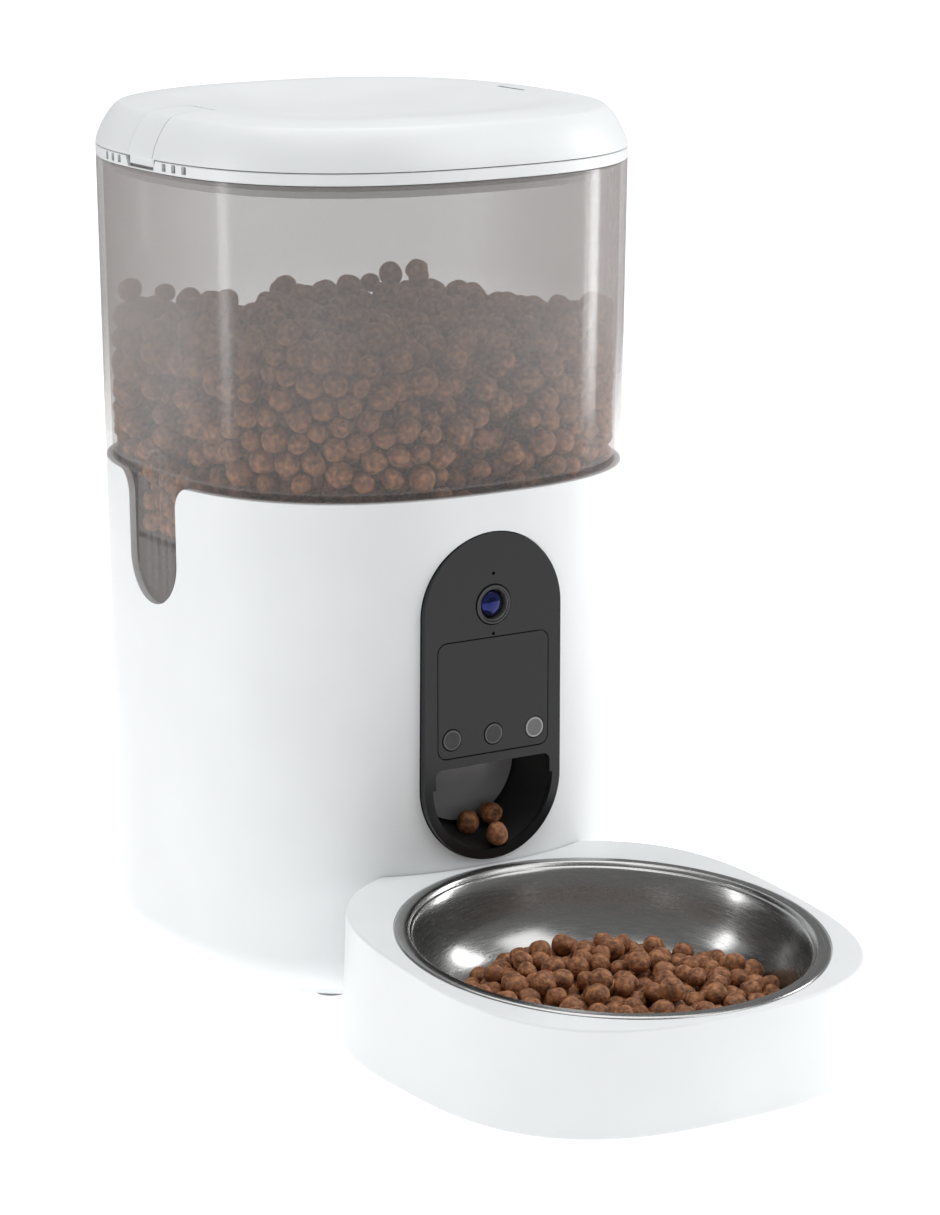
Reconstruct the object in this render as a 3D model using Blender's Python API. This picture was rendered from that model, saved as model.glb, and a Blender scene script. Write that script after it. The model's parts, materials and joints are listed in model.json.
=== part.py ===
"""Automatic pet feeder: a lift-out hopper on a powered base, with a camera panel and a tray.

Metres, +Z up, the front faces -Y, and the origin is on the floor at the middle of the whole
feeder. Everything in the base is placed from body_frame, the middle of the tower's footprint.
"""

import math

import bmesh
import bpy
from mathutils import Vector

# ---- overall sizes ----
LID_HALF = 0.095            # half the tower's width at the lid seam
SECTION_POWER = 2.54        # superellipse exponent of the tower's section
SIDE_DRAFT = 0.01355        # how far each side leans in per metre going down
LID_SEAM_Z = 0.3146
HOPPER_SEAM_Z = 0.1940      # where the hopper sits on the housing
TRAY_REACH = LID_HALF + 0.0715      # tower centre to tray centre
TRAY_HALF_WIDTH = 0.0860
TRAY_HALF_LENGTH = 0.0883
TRAY_POWER = 2.84
BODY_Y = (TRAY_REACH + TRAY_HALF_LENGTH - LID_HALF) / 2

SIDES = 32                  # points in each large section
ROUND = 12                  # points in each small circle
FINE = 8                    # points in each tiny one
SMOOTH = 20                 # points in each middling circle
GAP = 0.0003                # between pieces that touch
RUN = 0.0003                # radial clearance of shafts and pins
BEYOND = 0.01               # how far a cutter runs past what it cuts

# ---- housing and base ----
HOUSING_WALL = 0.0026
PLINTH_HALF = LID_HALF - 0.0127
PLINTH_DRAFT = 0.0018       # the plinth narrows this much to its lower edge
PLINTH_POWER = 2.26
PLINTH_LOW_Z = 0.0018
PLINTH_TOP_Z = 0.0052
FLOOR_WALL = 0.0026
BOTTOM_RADIUS = 0.01625     # rounding of the housing's lower edge
BOTTOM_SWEEP = math.radians(59.5)
LEDGE_Z = 0.1407            # top of the ledge that carries the rotor housing
LEDGE_WIDTH = 0.0040
FOOT_RADIUS = 0.0070
FOOT_X, FOOT_Y = 0.049, 0.056
SCREW_X, SCREW_Y = 0.059, 0.048
PILLAR_RADIUS = 0.0042
PILLAR_TOP_Z = 0.0137
BOSS_TOP_Z = 0.0340
SCREW_RADIUS = 0.0014
SCREW_HEAD_RADIUS = 0.0030
SCREW_HEAD_HEIGHT = 0.0020
SCREW_TOP_Z = 0.0265
BOARD_HALF_X = 0.035
BOARD_LOW_Z, BOARD_TOP_Z = 0.060, 0.122
BOARD_THICK = 0.0016
BOARD_Y = LID_HALF - 0.0160
JACK_Z = 0.0260
JACK_BARREL = 0.0042
JACK_BORE = 0.0028
SPEAKER_Y = -0.044
SPEAKER_RADIUS = 0.0180
SPEAKER_HEIGHT = 0.0085

# ---- batteries ----
CELL_RADIUS = 0.0166
CELL_LENGTH = 0.0600
CELL_NUB = 0.0015
CELL_PITCH = 0.0346
CELL_FRONT_Y = -0.0035
CASE_WALL = 0.0020
CASE_END_ROOM = 0.0025      # room for a contact at each end of the cells
DOOR_LIP = 0.0020           # the door's edges run in grooves this deep
DOOR_TOP_Z = 0.0044
DOOR_STEP_Z = 0.0032
PAD_TOP_Z = 0.0070

# ---- front panel ----
PANEL_HALF = 0.0300
PANEL_LOW_Z, PANEL_TOP_Z = 0.0539, 0.1795
PANEL_FRONT_Y = -(LID_HALF - 0.0017)
PANEL_PLATE = 0.0024
PANEL_SKIRT_Y = PANEL_FRONT_Y + 0.0049
PANEL_SKIRT_WALL = 0.0011
MOUTH_RADIUS = 0.0265
MOUTH_CENTRE_Z = 0.0840
MOUTH_TOP_Z = 0.0915
MOUTH_SHOULDER = 0.0253     # half-width of the mouth above its centre
CONTROL_HALF = 0.0243
CONTROL_LOW_Z, CONTROL_TOP_Z = 0.0955, 0.1395
CONTROL_PLATE = 0.0009
CONTROL_CORNER = 0.0037
BUTTON_PITCH = 0.0183
BUTTON_Z = 0.1025
BUTTON_RADIUS = 0.0040
BUTTON_CLEAR = 0.0002
BUTTON_PROUD = 0.0003
BUTTON_FLANGE = 0.0051
BUTTON_TRAVEL = 0.0005
PLUNGER_REACH = 0.0022      # the button's plunger behind the plate's back
SWITCH_HEIGHT = 0.0024
LENS_Z = 0.1521
LENS_RING_RADIUS = 0.0075
LENS_RADIUS = 0.0052
MIC_Z, STATUS_Z = 0.1639, 0.1410
PINHOLE_RADIUS = 0.0006

# ---- chute, flap and rotor ----
CHUTE_WALL = 0.0018
CHUTE_MOUTH_Y = PANEL_FRONT_Y + PANEL_PLATE + GAP
FLAP_Y = PANEL_FRONT_Y + 0.0223
FLAP_CENTRE_Z = 0.0865
CHUTE_RADIUS_AT_FLAP = 0.0232
FLAP_CLEAR = 0.0006
FLAP_THICK = 0.0016
FLAP_PIN_RADIUS = 0.0009
FLAP_AXIS_RISE = 0.0080     # hinge axis above the flap's centre
CUP_FLOOR_Z = 0.1115        # underside of the rotor housing
CUP_FLOOR = 0.0022
CUP_RADIUS = 0.0505
CUP_WALL = 0.0024
FLANGE_THICK = 0.0023
OUTLET_IN, OUTLET_OUT = 0.0275, 0.0490
OUTLET_HALF_ANGLE = math.radians(26)
SHIELD_THICK = 0.0020
ROTOR_BLADES = 6
ROTOR_RADIUS = 0.0493
ROTOR_HUB = 0.0120
BLADE_THICK = 0.0026
SHAFT_RADIUS = 0.0030
SHAFT_TOP_Z = 0.1590

# ---- gear train ----
GEAR_MODULE = 0.0013
ADDENDUM, DEDENDUM = 0.85, 1.25     # tooth height above and below the pitch line, in modules
OUTPUT_TEETH, IDLER_TEETH, PINION_TEETH = 24, 18, 12
PRESSURE_ANGLE = math.radians(20)
BACKLASH = 0.00025
GEAR_LOW_Z, GEAR_TOP_Z = 0.0980, 0.1040
GEARCASE_LOW_Z, GEARCASE_TOP_Z = 0.0950, 0.1089
GEARCASE_HALF = 0.0194
GEARCASE_WALL = 0.0016
MOTOR_RADIUS = 0.0170
MOTOR_LOW_Z = 0.0520
MOTOR_SHAFT_RADIUS = 0.0020

# ---- hopper ----
TANK_WALL = 0.0024
TANK_STEP = 0.0006          # clearance between the housing and the hopper's lower part
TANK_SHOULDER_Z = HOPPER_SEAM_Z - 0.0100     # lower edge of the tank's straight wall
FUNNEL_FLANGE = 0.0022      # the funnel's edge, joined under the tank
FUNNEL_RADIUS = 0.0480
FUNNEL_Z = 0.1520
SPIGOT_Z = 0.1462
RIM_HEIGHT = 0.0048
RIM_WALL = 0.0014
TONGUE_HALF = 0.0176
TONGUE_LOW_Z = 0.1463
TONGUE_FILLET = 0.0100
TONGUE_CLEAR = 0.0005
TONGUE_DEPTH = 0.0160
POCKET_FLOOR_Z = 0.1710
NOTCH_WIDTH = 0.0026
NOTCH_HEIGHT = 0.0032
RECESS_TOP_HALF, RECESS_LOW_HALF = 0.0115, 0.0098
RECESS_DEPTH = 0.0038

# ---- lid ----
LID_WALL = 0.0024
LID_EDGE_INSET, LID_EDGE_RISE = 0.00867, 0.01506
LID_EDGE_POWER = 1.366
LID_DISH = ((0.0140, 0.0161), (0.0200, 0.01672), (0.0260, 0.0166), (0.0360, 0.0155),
            (0.0560, 0.0138), (0.0870, 0.0131))
LID_SEAM_GAP = 0.0004
LINER_HALF = LID_HALF - 0.0046
LINER_WALL = 0.0018
LINER_LOW_Z = LID_SEAM_Z - 0.0096
LINER_TOP_Z = LID_SEAM_Z + 0.0034
SEAL_LOW_Z = LID_SEAM_Z - 0.0071
SEAL_TOP_Z = LID_SEAM_Z - 0.0041
DESICCANT_RADIUS = 0.0300
DESICCANT_LOW_Z = LID_SEAM_Z - 0.0136
DESICCANT_COVER = 0.0020
LATCH_HALF = 0.0092
LATCH_THICK = 0.0022
LATCH_CLEAR = 0.0003
LATCH_INSET = 0.0240        # latch axis, in from the lid's edge
LATCH_PIN_RADIUS = 0.0010
LATCH_BARREL = 0.0022
LATCH_SLIT = 0.0012

# ---- tray and bowl ----
TRAY_TILT = math.radians(4.3)
TRAY_TOP_Z = 0.0458
TRAY_TOP_DRAFT = 0.0016     # the tray narrows this much to its top
TRAY_WALL = 0.0024
TRAY_LOW_Z = 0.0008
TRAY_LIP_Z = 0.0026
TRAY_LIP_WIDTH = 0.0120
TRAY_GAP = 0.0004
TRAY_FOOT_X = TRAY_HALF_WIDTH - 0.0280
TRAY_FOOT_Y = TRAY_HALF_LENGTH - 0.0303
TRAY_FOOT_RADIUS = 0.0055
BOWL_OFFSET = 0.0060        # bowl centre ahead of the tray centre
BOWL_MARGIN = 0.0074        # the tray's edge left beside the bowl
BOWL_RIM_RADIUS = TRAY_HALF_WIDTH - BOWL_MARGIN
BOWL_RIM_WIDTH = 0.0042
BOWL_SEAT = 0.0010
BOWL_DEPTH = 0.0340
BOWL_SHEET = 0.0008
BOWL_SLOPE = 0.0253         # how far the bowl's side leans in from its throat to its floor


# ---------------------------------------------------------------- shapes

def half_at(z):
    """Half the tower's width at a height: the sides lean in going down."""
    return LID_HALF - (LID_SEAM_Z - z) * SIDE_DRAFT


def squircle(half_x, half_y, power, count=SIDES):
    """A superellipse, counter-clockwise from +X."""
    outline = []
    for step in range(count):
        angle = 2 * math.pi * step / count
        c, s = math.cos(angle), math.sin(angle)
        reach = (abs(c) ** power + abs(s) ** power) ** (-1 / power)
        outline.append((half_x * reach * c, half_y * reach * s))
    return outline


def circle(radius, centre=(0.0, 0.0), count=ROUND):
    return [(centre[0] + x, centre[1] + y) for x, y in squircle(radius, radius, 2, count)]


def arc(centre, radius, start, end, steps):
    """Points of an arc in degrees, both ends included."""
    return [(centre[0] + radius * math.cos(math.radians(start + (end - start) * k / steps)),
             centre[1] + radius * math.sin(math.radians(start + (end - start) * k / steps)))
            for k in range(steps + 1)]


def rectangle(low, high):
    return [(low[0], low[1]), (high[0], low[1]), (high[0], high[1]), (low[0], high[1])]


def rounded(low, high, radius, steps=4):
    """A rectangle with round corners."""
    corners = ((high[0] - radius, low[1] + radius, -90), (high[0] - radius, high[1] - radius, 0),
               (low[0] + radius, high[1] - radius, 90), (low[0] + radius, low[1] + radius, 180))
    outline = []
    for x, y, start in corners:
        outline += arc((x, y), radius, start, start + 90, steps)
    return outline


def capsule(radius, low, high, steps=10):
    """A slot shape of the given half-width, standing from low to high."""
    return (arc((0, high - radius), radius, 0, 180, steps)
            + arc((0, low + radius), radius, 180, 360, steps))


def level(outline, z):
    return [(x, y, z) for x, y in outline]


def tower_ring(half, z, power=SECTION_POWER):
    return level(squircle(half, half, power), z)


def loft(rings, looped=False):
    """A closed shape through rings of equal length, capped at its ends or joined into a loop."""
    count = len(rings[0])
    points = [point for ring in rings for point in ring]
    faces = []
    last = len(rings) if looped else len(rings) - 1
    for row in range(last):
        above = (row + 1) % len(rings)
        for k in range(count):
            n = (k + 1) % count
            faces.append((row * count + k, row * count + n, above * count + n, above * count + k))
    if not looped:
        faces.append(tuple(reversed(range(count))))
        faces.append(tuple((len(rings) - 1) * count + k for k in range(count)))
    return outward(points, faces)


def outward(points, faces):
    """The shape with its faces turned to point out, found from the sign of its volume."""
    volume = 0.0
    for face in faces:
        a = Vector(points[face[0]])
        for k in range(1, len(face) - 1):
            volume += a.dot(Vector(points[face[k]]).cross(Vector(points[face[k + 1]])))
    return points, (faces if volume > 0 else [face[::-1] for face in faces])


def prism(outline, low, high, along="z"):
    """An outline pushed along an axis. Along y the outline is (x, z), and along x it is (y, z)."""
    turn = {"z": lambda u, v, w: (u, v, w), "y": lambda u, v, w: (u, w, v),
            "x": lambda u, v, w: (w, u, v)}[along]
    return loft([[turn(u, v, w) for u, v in outline] for w in (low, high)])


def rod(radius, low, high, centre=(0.0, 0.0), along="z", count=ROUND):
    return prism(circle(radius, centre, count), low, high, along)


def block(low, high):
    return prism(rectangle(low[:2], high[:2]), low[2], high[2])


def turned(profile, count=SIDES, looped=False):
    """A shape turned round Z from (radius, z) points."""
    return loft([level(circle(radius, count=count), z) for radius, z in profile], looped)


def offset_path(path, distance):
    """The path moved sideways, to the right of its direction, by a wall's thickness."""
    moved = []
    for k, (x, y) in enumerate(path):
        before = path[max(k - 1, 0)]
        after = path[min(k + 1, len(path) - 1)]
        dx, dy = after[0] - before[0], after[1] - before[1]
        length = math.hypot(dx, dy)
        moved.append((x + distance * dy / length, y - distance * dx / length))
    return moved


# ---------------------------------------------------------------- objects

def clear_scene():
    for obj in list(bpy.data.objects):
        bpy.data.objects.remove(obj, do_unlink=True)


def finish(name, colour, roughness, metallic=0.0, alpha=1.0):
    material = bpy.data.materials.new(name)
    material.use_nodes = True
    shader = material.node_tree.nodes["Principled BSDF"]
    shader.inputs["Base Color"].default_value = (*colour, 1.0)
    shader.inputs["Roughness"].default_value = roughness
    shader.inputs["Metallic"].default_value = metallic
    shader.inputs["Alpha"].default_value = alpha
    material.diffuse_color = (*colour, alpha)
    return material


def frame(name, location, parent=None, tilt=0.0):
    """An empty that carries a group of pieces."""
    empty = bpy.data.objects.new(name, None)
    empty.location = location
    empty.rotation_euler = (tilt, 0.0, 0.0)
    empty.parent = parent
    empty.empty_display_size = 0.02
    bpy.context.scene.collection.objects.link(empty)
    return empty


def build_mesh(name, shapes):
    bm = bmesh.new()
    for points, faces in shapes:
        corners = [bm.verts.new(point) for point in points]
        for face in faces:
            bm.faces.new([corners[k] for k in face])
    mesh = bpy.data.meshes.new(name)
    bm.to_mesh(mesh)
    bm.free()
    return mesh


def make(name, material, parent, *shapes):
    """A named piece of the feeder."""
    mesh = build_mesh(name, shapes)
    mesh.shade_smooth()
    mesh.set_sharp_from_angle(angle=math.radians(35))
    mesh.materials.append(material)
    obj = bpy.data.objects.new(name, mesh)
    obj.parent = parent
    bpy.context.scene.collection.objects.link(obj)
    return obj


def copy_of(original, name, parent):
    """A second piece that shares the first one's mesh."""
    obj = bpy.data.objects.new(name, original.data)
    obj.parent = parent
    bpy.context.scene.collection.objects.link(obj)
    return obj


def helper(name, parent, shapes):
    obj = bpy.data.objects.new(name, build_mesh(name, shapes))
    obj.parent = parent
    obj.hide_render = True
    obj.display_type = "WIRE"
    bpy.context.scene.collection.objects.link(obj)
    return obj


def combine(obj, operation, name, shapes, parent=None):
    """A Boolean with a hidden helper, which stands in the piece's own frame unless told."""
    tool = helper(f"{obj.name}.{name}", parent or obj.parent, shapes)
    modifier = obj.modifiers.new(name, "BOOLEAN")
    modifier.operation = operation
    modifier.solver = "EXACT"
    modifier.object = tool
    return tool


def cut(obj, name, *shapes, parent=None):
    return combine(obj, "DIFFERENCE", name, shapes, parent)


def fuse(obj, name, *shapes, parent=None):
    return combine(obj, "UNION", name, shapes, parent)


def keep_inside(obj, name, *shapes, parent=None):
    return combine(obj, "INTERSECT", name, shapes, parent)


def four(x, y):
    """The four corners of a rectangle centred on the frame."""
    return [(sx * x, sy * y) for sy in (-1, 1) for sx in (-1, 1)]


# ---------------------------------------------------------------- base

def housing_bottom():
    """The housing's rounded lower edge, as (inset, z) from the lip up to the straight side."""
    low = PLINTH_TOP_Z + GAP
    top = low + BOTTOM_RADIUS * math.sin(BOTTOM_SWEEP)
    steps = 3
    angles = [BOTTOM_SWEEP * (1 - k / steps) for k in range(steps + 1)]
    return [(BOTTOM_RADIUS * (1 - math.cos(a)), top - BOTTOM_RADIUS * math.sin(a)) for a in angles]


def window_outline(grow):
    """Half of a side window's outline as (y, z), bottom to top, mirrored into a whole one."""
    half = TONGUE_HALF + grow
    centre_z = TONGUE_LOW_Z + TONGUE_HALF
    top = HOPPER_SEAM_Z + GAP
    fillet = TONGUE_FILLET - grow
    right = arc((0, centre_z), half, -90, 0, 6)
    right += arc((half + fillet, top - fillet), fillet, 180, 90, 4)
    right.append((half + fillet, top + 0.002))
    return right + [(-y, z) for y, z in reversed(right[1:])]


def build_housing(body, white):
    outer = [tower_ring(half_at(z) - inset, z) for inset, z in housing_bottom()]
    outer.append(tower_ring(half_at(HOPPER_SEAM_Z), HOPPER_SEAM_Z))
    inner_top = half_at(HOPPER_SEAM_Z) - HOUSING_WALL
    ledge_half = half_at(LEDGE_Z) - HOUSING_WALL
    inner = [tower_ring(inner_top, HOPPER_SEAM_Z), tower_ring(ledge_half, LEDGE_Z),
             tower_ring(ledge_half - LEDGE_WIDTH, LEDGE_Z),
             tower_ring(ledge_half - LEDGE_WIDTH, LEDGE_Z - 0.002),
             tower_ring(ledge_half, LEDGE_Z - 0.002 - LEDGE_WIDTH)]
    inner += [tower_ring(half_at(z) - inset - HOUSING_WALL, z)
              for inset, z in reversed(housing_bottom())]
    shell = make("housing_shell", white, body, loft(outer + inner, looped=True))
    fuse(shell, "inner_mounts", *[screw_boss(x, y) for x, y in four(SCREW_X, SCREW_Y)],
         *[board_standoff(x, z) for x, z in board_corners()])
    openings = [rod(SCREW_RADIUS + RUN, PILLAR_TOP_Z - BEYOND, SCREW_TOP_Z + 0.001, corner)
                for corner in four(SCREW_X, SCREW_Y)]
    openings.append(rod(JACK_BARREL + GAP, LID_HALF - 0.025, LID_HALF + BEYOND, (0, JACK_Z), "y"))
    openings.append(prism(capsule(PANEL_HALF + GAP, PANEL_LOW_Z - GAP, PANEL_TOP_Z + GAP),
                          -LID_HALF - BEYOND, -LID_HALF + 0.035, "y"))
    for side in (-1, 1):
        ends = sorted((side * (LID_HALF - 0.035), side * (LID_HALF + BEYOND)))
        openings.append(prism(window_outline(TONGUE_CLEAR), *ends, "x"))
    cut(shell, "openings", *openings)
    return shell


def screw_boss(x, y):
    """A rib that runs from the screw to the housing's side."""
    away = math.atan2(y, x)
    reach = math.hypot(x, y)
    wall = squircle_reach(half_at(BOSS_TOP_Z) - HOUSING_WALL / 2, away)
    outline = []
    for u, v in arc((reach, 0), PILLAR_RADIUS, 90, 270, 8) + [(wall, -PILLAR_RADIUS), (wall, PILLAR_RADIUS)]:
        outline.append((u * math.cos(away) - v * math.sin(away), u * math.sin(away) + v * math.cos(away)))
    return prism(outline, PILLAR_TOP_Z + GAP, BOSS_TOP_Z)


def squircle_reach(half, angle):
    """Distance from the centre to a tower section's edge in one direction."""
    c, s = abs(math.cos(angle)), abs(math.sin(angle))
    return half * (c ** SECTION_POWER + s ** SECTION_POWER) ** (-1 / SECTION_POWER)


def board_corners():
    inset = 0.005
    return [(sx * (BOARD_HALF_X - inset), z) for sx in (-1, 1)
            for z in (BOARD_LOW_Z + inset, BOARD_TOP_Z - inset)]


def board_standoff(x, z):
    return rod(0.0028, BOARD_Y + BOARD_THICK + GAP, half_at(z) - HOUSING_WALL / 2 - 0.0012, (x, z), "y", 12)


def build_base_plate(body, white):
    inner = half_at(PLINTH_TOP_Z) - housing_bottom()[0][0] - HOUSING_WALL - 2 * GAP
    rings = [tower_ring(PLINTH_HALF - PLINTH_DRAFT, PLINTH_LOW_Z, PLINTH_POWER),
             tower_ring(PLINTH_HALF, PLINTH_TOP_Z, PLINTH_POWER),
             tower_ring(inner, PLINTH_TOP_Z), tower_ring(inner, PLINTH_TOP_Z + 0.004),
             tower_ring(inner - 0.002, PLINTH_TOP_Z + 0.004),
             tower_ring(inner - 0.002, PLINTH_LOW_Z + FLOOR_WALL)]
    plate = make("base_plate", white, body, loft(rings))
    fuse(plate, "screw_pillars", *[rod(PILLAR_RADIUS, PLINTH_LOW_Z + 0.001, PILLAR_TOP_Z, corner)
                                   for corner in four(SCREW_X, SCREW_Y)])
    case_low, case_high = case_box()
    fuse(plate, "battery_pad", block((case_low[0], case_low[1], PLINTH_LOW_Z + 0.001),
                                     (case_high[0], case_high[1], PAD_TOP_Z)))
    cut(plate, "battery_room", block((case_low[0] - GAP, case_low[1] - GAP, PAD_TOP_Z + GAP / 2),
                                     (case_high[0] + GAP, case_high[1] + GAP, case_high[2])))
    cut(plate, "battery_door_groove", *door_shapes(GAP, 0.002))
    inside = CASE_WALL + GAP
    cut(plate, "battery_opening", block((case_low[0] + inside, case_low[1] + inside, 0.0),
                                        (case_high[0] - inside, case_high[1] - inside, 0.02)))
    cut(plate, "screw_holes", *[turned_at(corner, [(SCREW_HEAD_RADIUS + GAP, 0.0),
                                                   (SCREW_HEAD_RADIUS + GAP, screw_seat_z() + GAP),
                                                   (SCREW_RADIUS + RUN, screw_seat_z() + GAP),
                                                   (SCREW_RADIUS + RUN, PILLAR_TOP_Z + 0.002)])
                                for corner in four(SCREW_X, SCREW_Y)])
    cut(plate, "speaker_grille", *[rod(0.0016, 0.0, 0.02, hole, count=FINE) for hole in grille_holes()])
    return plate


def turned_at(centre, profile, count=ROUND):
    return loft([level(circle(radius, centre, count), z) for radius, z in profile])


def screw_seat_z():
    return PLINTH_LOW_Z + 0.0006 + SCREW_HEAD_HEIGHT


def grille_holes():
    holes = [(0.0, SPEAKER_Y)]
    for step in range(6):
        angle = math.radians(60 * step)
        holes.append((0.008 * math.cos(angle), SPEAKER_Y + 0.008 * math.sin(angle)))
    return holes


def build_feet(body, rubber):
    foot = None
    for k, (x, y) in enumerate(four(FOOT_X, FOOT_Y), 1):
        at = frame(f"foot_place_{k}", (x, y, 0.0), body)
        if foot is None:
            profile = [(FOOT_RADIUS - 0.0006, 0.0), (FOOT_RADIUS, 0.0006), (FOOT_RADIUS, PLINTH_LOW_Z - GAP)]
            foot = make("foot_1", rubber, at, turned(profile, ROUND))
        else:
            copy_of(foot, f"foot_{k}", at)


def build_screws(body, steel):
    screw = None
    for k, (x, y) in enumerate(four(SCREW_X, SCREW_Y), 1):
        at = frame(f"screw_place_{k}", (x, y, 0.0), body)
        if screw is None:
            seat = screw_seat_z()
            screw = make("base_screw_1", steel, at, turned_at((0, 0), [
                (SCREW_HEAD_RADIUS, seat - SCREW_HEAD_HEIGHT), (SCREW_HEAD_RADIUS, seat),
                (SCREW_RADIUS, seat), (SCREW_RADIUS, SCREW_TOP_Z)]))
            cut(screw, "drive", rod(0.0014, seat - 0.004, seat - 0.0008, count=6))
        else:
            twin = copy_of(screw, f"base_screw_{k}", at)
            cut(twin, "drive", rod(0.0014, seat - 0.004, seat - 0.0008, count=6))


def case_box():
    """The battery case's outside, as its low and high corners."""
    half = CELL_PITCH + CELL_RADIUS + 0.0010 + CASE_WALL
    low_y = CELL_FRONT_Y - CASE_END_ROOM - CASE_WALL
    high_y = CELL_FRONT_Y + CELL_LENGTH + CELL_NUB + CASE_END_ROOM + CASE_WALL
    top = cell_z() + CELL_RADIUS + 0.0008 + CASE_WALL
    return (-half, low_y, PAD_TOP_Z + GAP), (half, high_y, top)


def cell_z():
    return DOOR_TOP_Z + GAP + CELL_RADIUS


def door_shapes(grow, beyond):
    """The battery door's stepped section, wider at the top, run out past the plinth's rear edge."""
    low, high = case_box()
    rear = PLINTH_HALF + 0.01
    half = high[0] - CASE_WALL
    section = [(-half - grow, PLINTH_LOW_Z - beyond), (half + grow, PLINTH_LOW_Z - beyond),
               (half + grow, DOOR_STEP_Z - grow), (half + DOOR_LIP + grow, DOOR_STEP_Z - grow),
               (half + DOOR_LIP + grow, DOOR_TOP_Z + grow), (-half - DOOR_LIP - grow, DOOR_TOP_Z + grow),
               (-half - DOOR_LIP - grow, DOOR_STEP_Z - grow), (-half - grow, DOOR_STEP_Z - grow)]
    return [prism(section, low[1] + CASE_WALL - grow, rear, "y")]


def build_batteries(body, inner_white, white, steel, cell_blue):
    low, high = case_box()
    case = make("battery_case", inner_white, body, block(low, high))
    cut(case, "inside", block((low[0] + CASE_WALL, low[1] + CASE_WALL, 0.0),
                              (high[0] - CASE_WALL, high[1] - CASE_WALL, high[2] - CASE_WALL)))
    door = make("battery_door", white, frame("door_slide", (0, 0, 0), body), *door_shapes(0.0, 0.0))
    rear_edge = PLINTH_HALF - PLINTH_DRAFT
    keep_inside(door, "rear_edge", loft([tower_ring(rear_edge, z, PLINTH_POWER) for z in (-0.01, 0.02)]))
    for k in range(3):
        at = frame(f"cell_place_{k + 1}", ((k - 1) * CELL_PITCH, CELL_FRONT_Y, cell_z()), body)
        rings = [(CELL_RADIUS, 0.0), (CELL_RADIUS, CELL_LENGTH), (0.0046, CELL_LENGTH),
                 (0.0046, CELL_LENGTH + CELL_NUB)]
        cell = [[(x, w, z) for x, z in circle(radius, count=SMOOTH)] for radius, w in rings]
        make(f"battery_cell_{k + 1}", cell_blue, at, loft(cell))
    for name, y, facing in (("battery_contacts_front", low[1] + CASE_WALL + GAP, 1),
                            ("battery_contacts_rear", high[1] - CASE_WALL - GAP, -1)):
        near, far = sorted((y, y + facing * 0.0006))
        half_z = 0.009
        plate = make(name, steel, body, block((low[0] + 0.004, near, cell_z() - half_z),
                                              (high[0] - 0.004, far, cell_z() + half_z)))
        tips = [rod(0.006, *sorted((y, y + facing * (CASE_END_ROOM - 2 * GAP))),
                    ((k - 1) * CELL_PITCH, cell_z()), "y", 12) for k in range(3)]
        fuse(plate, "springs", *tips)


def build_base_electronics(body, black, board_green, steel):
    floor = PLINTH_LOW_Z + FLOOR_WALL + GAP
    top = floor + SPEAKER_HEIGHT
    profile = [(SPEAKER_RADIUS, floor), (SPEAKER_RADIUS, floor + 0.003), (0.010, top - 0.003), (0.010, top)]
    make("speaker", black, frame("speaker_place", (0, SPEAKER_Y, 0), body), turned(profile, SMOOTH))
    board = make("main_board", board_green, body,
                 prism(rectangle((-BOARD_HALF_X, BOARD_LOW_Z), (BOARD_HALF_X, BOARD_TOP_Z)),
                       BOARD_Y, BOARD_Y + BOARD_THICK, "y"))
    chips = [rod(0.005, BOARD_Y - 0.012, BOARD_Y + 0.0005, (-0.022, 0.080), "y", 16),
             prism(rectangle((-0.008, 0.090), (0.010, 0.108)), BOARD_Y - 0.0025, BOARD_Y + 0.0005, "y"),
             prism(rectangle((0.016, 0.066), (0.030, 0.074)), BOARD_Y - 0.008, BOARD_Y + 0.0005, "y")]
    fuse(board, "components", *chips)
    wall = half_at(JACK_Z) - HOUSING_WALL
    jack = make("power_jack", black, body,
                prism(rectangle((-0.0065, JACK_Z - 0.0060), (0.0065, JACK_Z + 0.0060)),
                      wall - 0.0135, wall - GAP, "y"))
    fuse(jack, "barrel", rod(JACK_BARREL, wall - 0.004, wall + HOUSING_WALL - 0.0005, (0, JACK_Z), "y"))
    cut(jack, "socket", rod(JACK_BORE, wall - 0.0095, wall + BEYOND, (0, JACK_Z), "y"))


# ---------------------------------------------------------------- chute, flap and rotor

def chute_section(centre, lean, half, depth, rise, grow):
    """A D-shaped section at (y, z), half-round below and flat on top, leaning by an angle."""
    y0, z0 = centre
    up_y, up_z = -math.sin(lean), math.cos(lean)
    bottom = [((half + grow) * math.cos(math.radians(a)), (depth + grow) * math.sin(math.radians(a)))
              for a in range(180, 361, 15)]
    corner = 0.003 + grow
    top = rise + grow
    right = arc((half + grow - corner, top - corner), corner, 0, 90, 2)
    outline = bottom + right + [(-u, v) for u, v in reversed(right)]
    return [(u, y0 + up_y * v, z0 + up_z * v) for u, v in outline]


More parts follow.
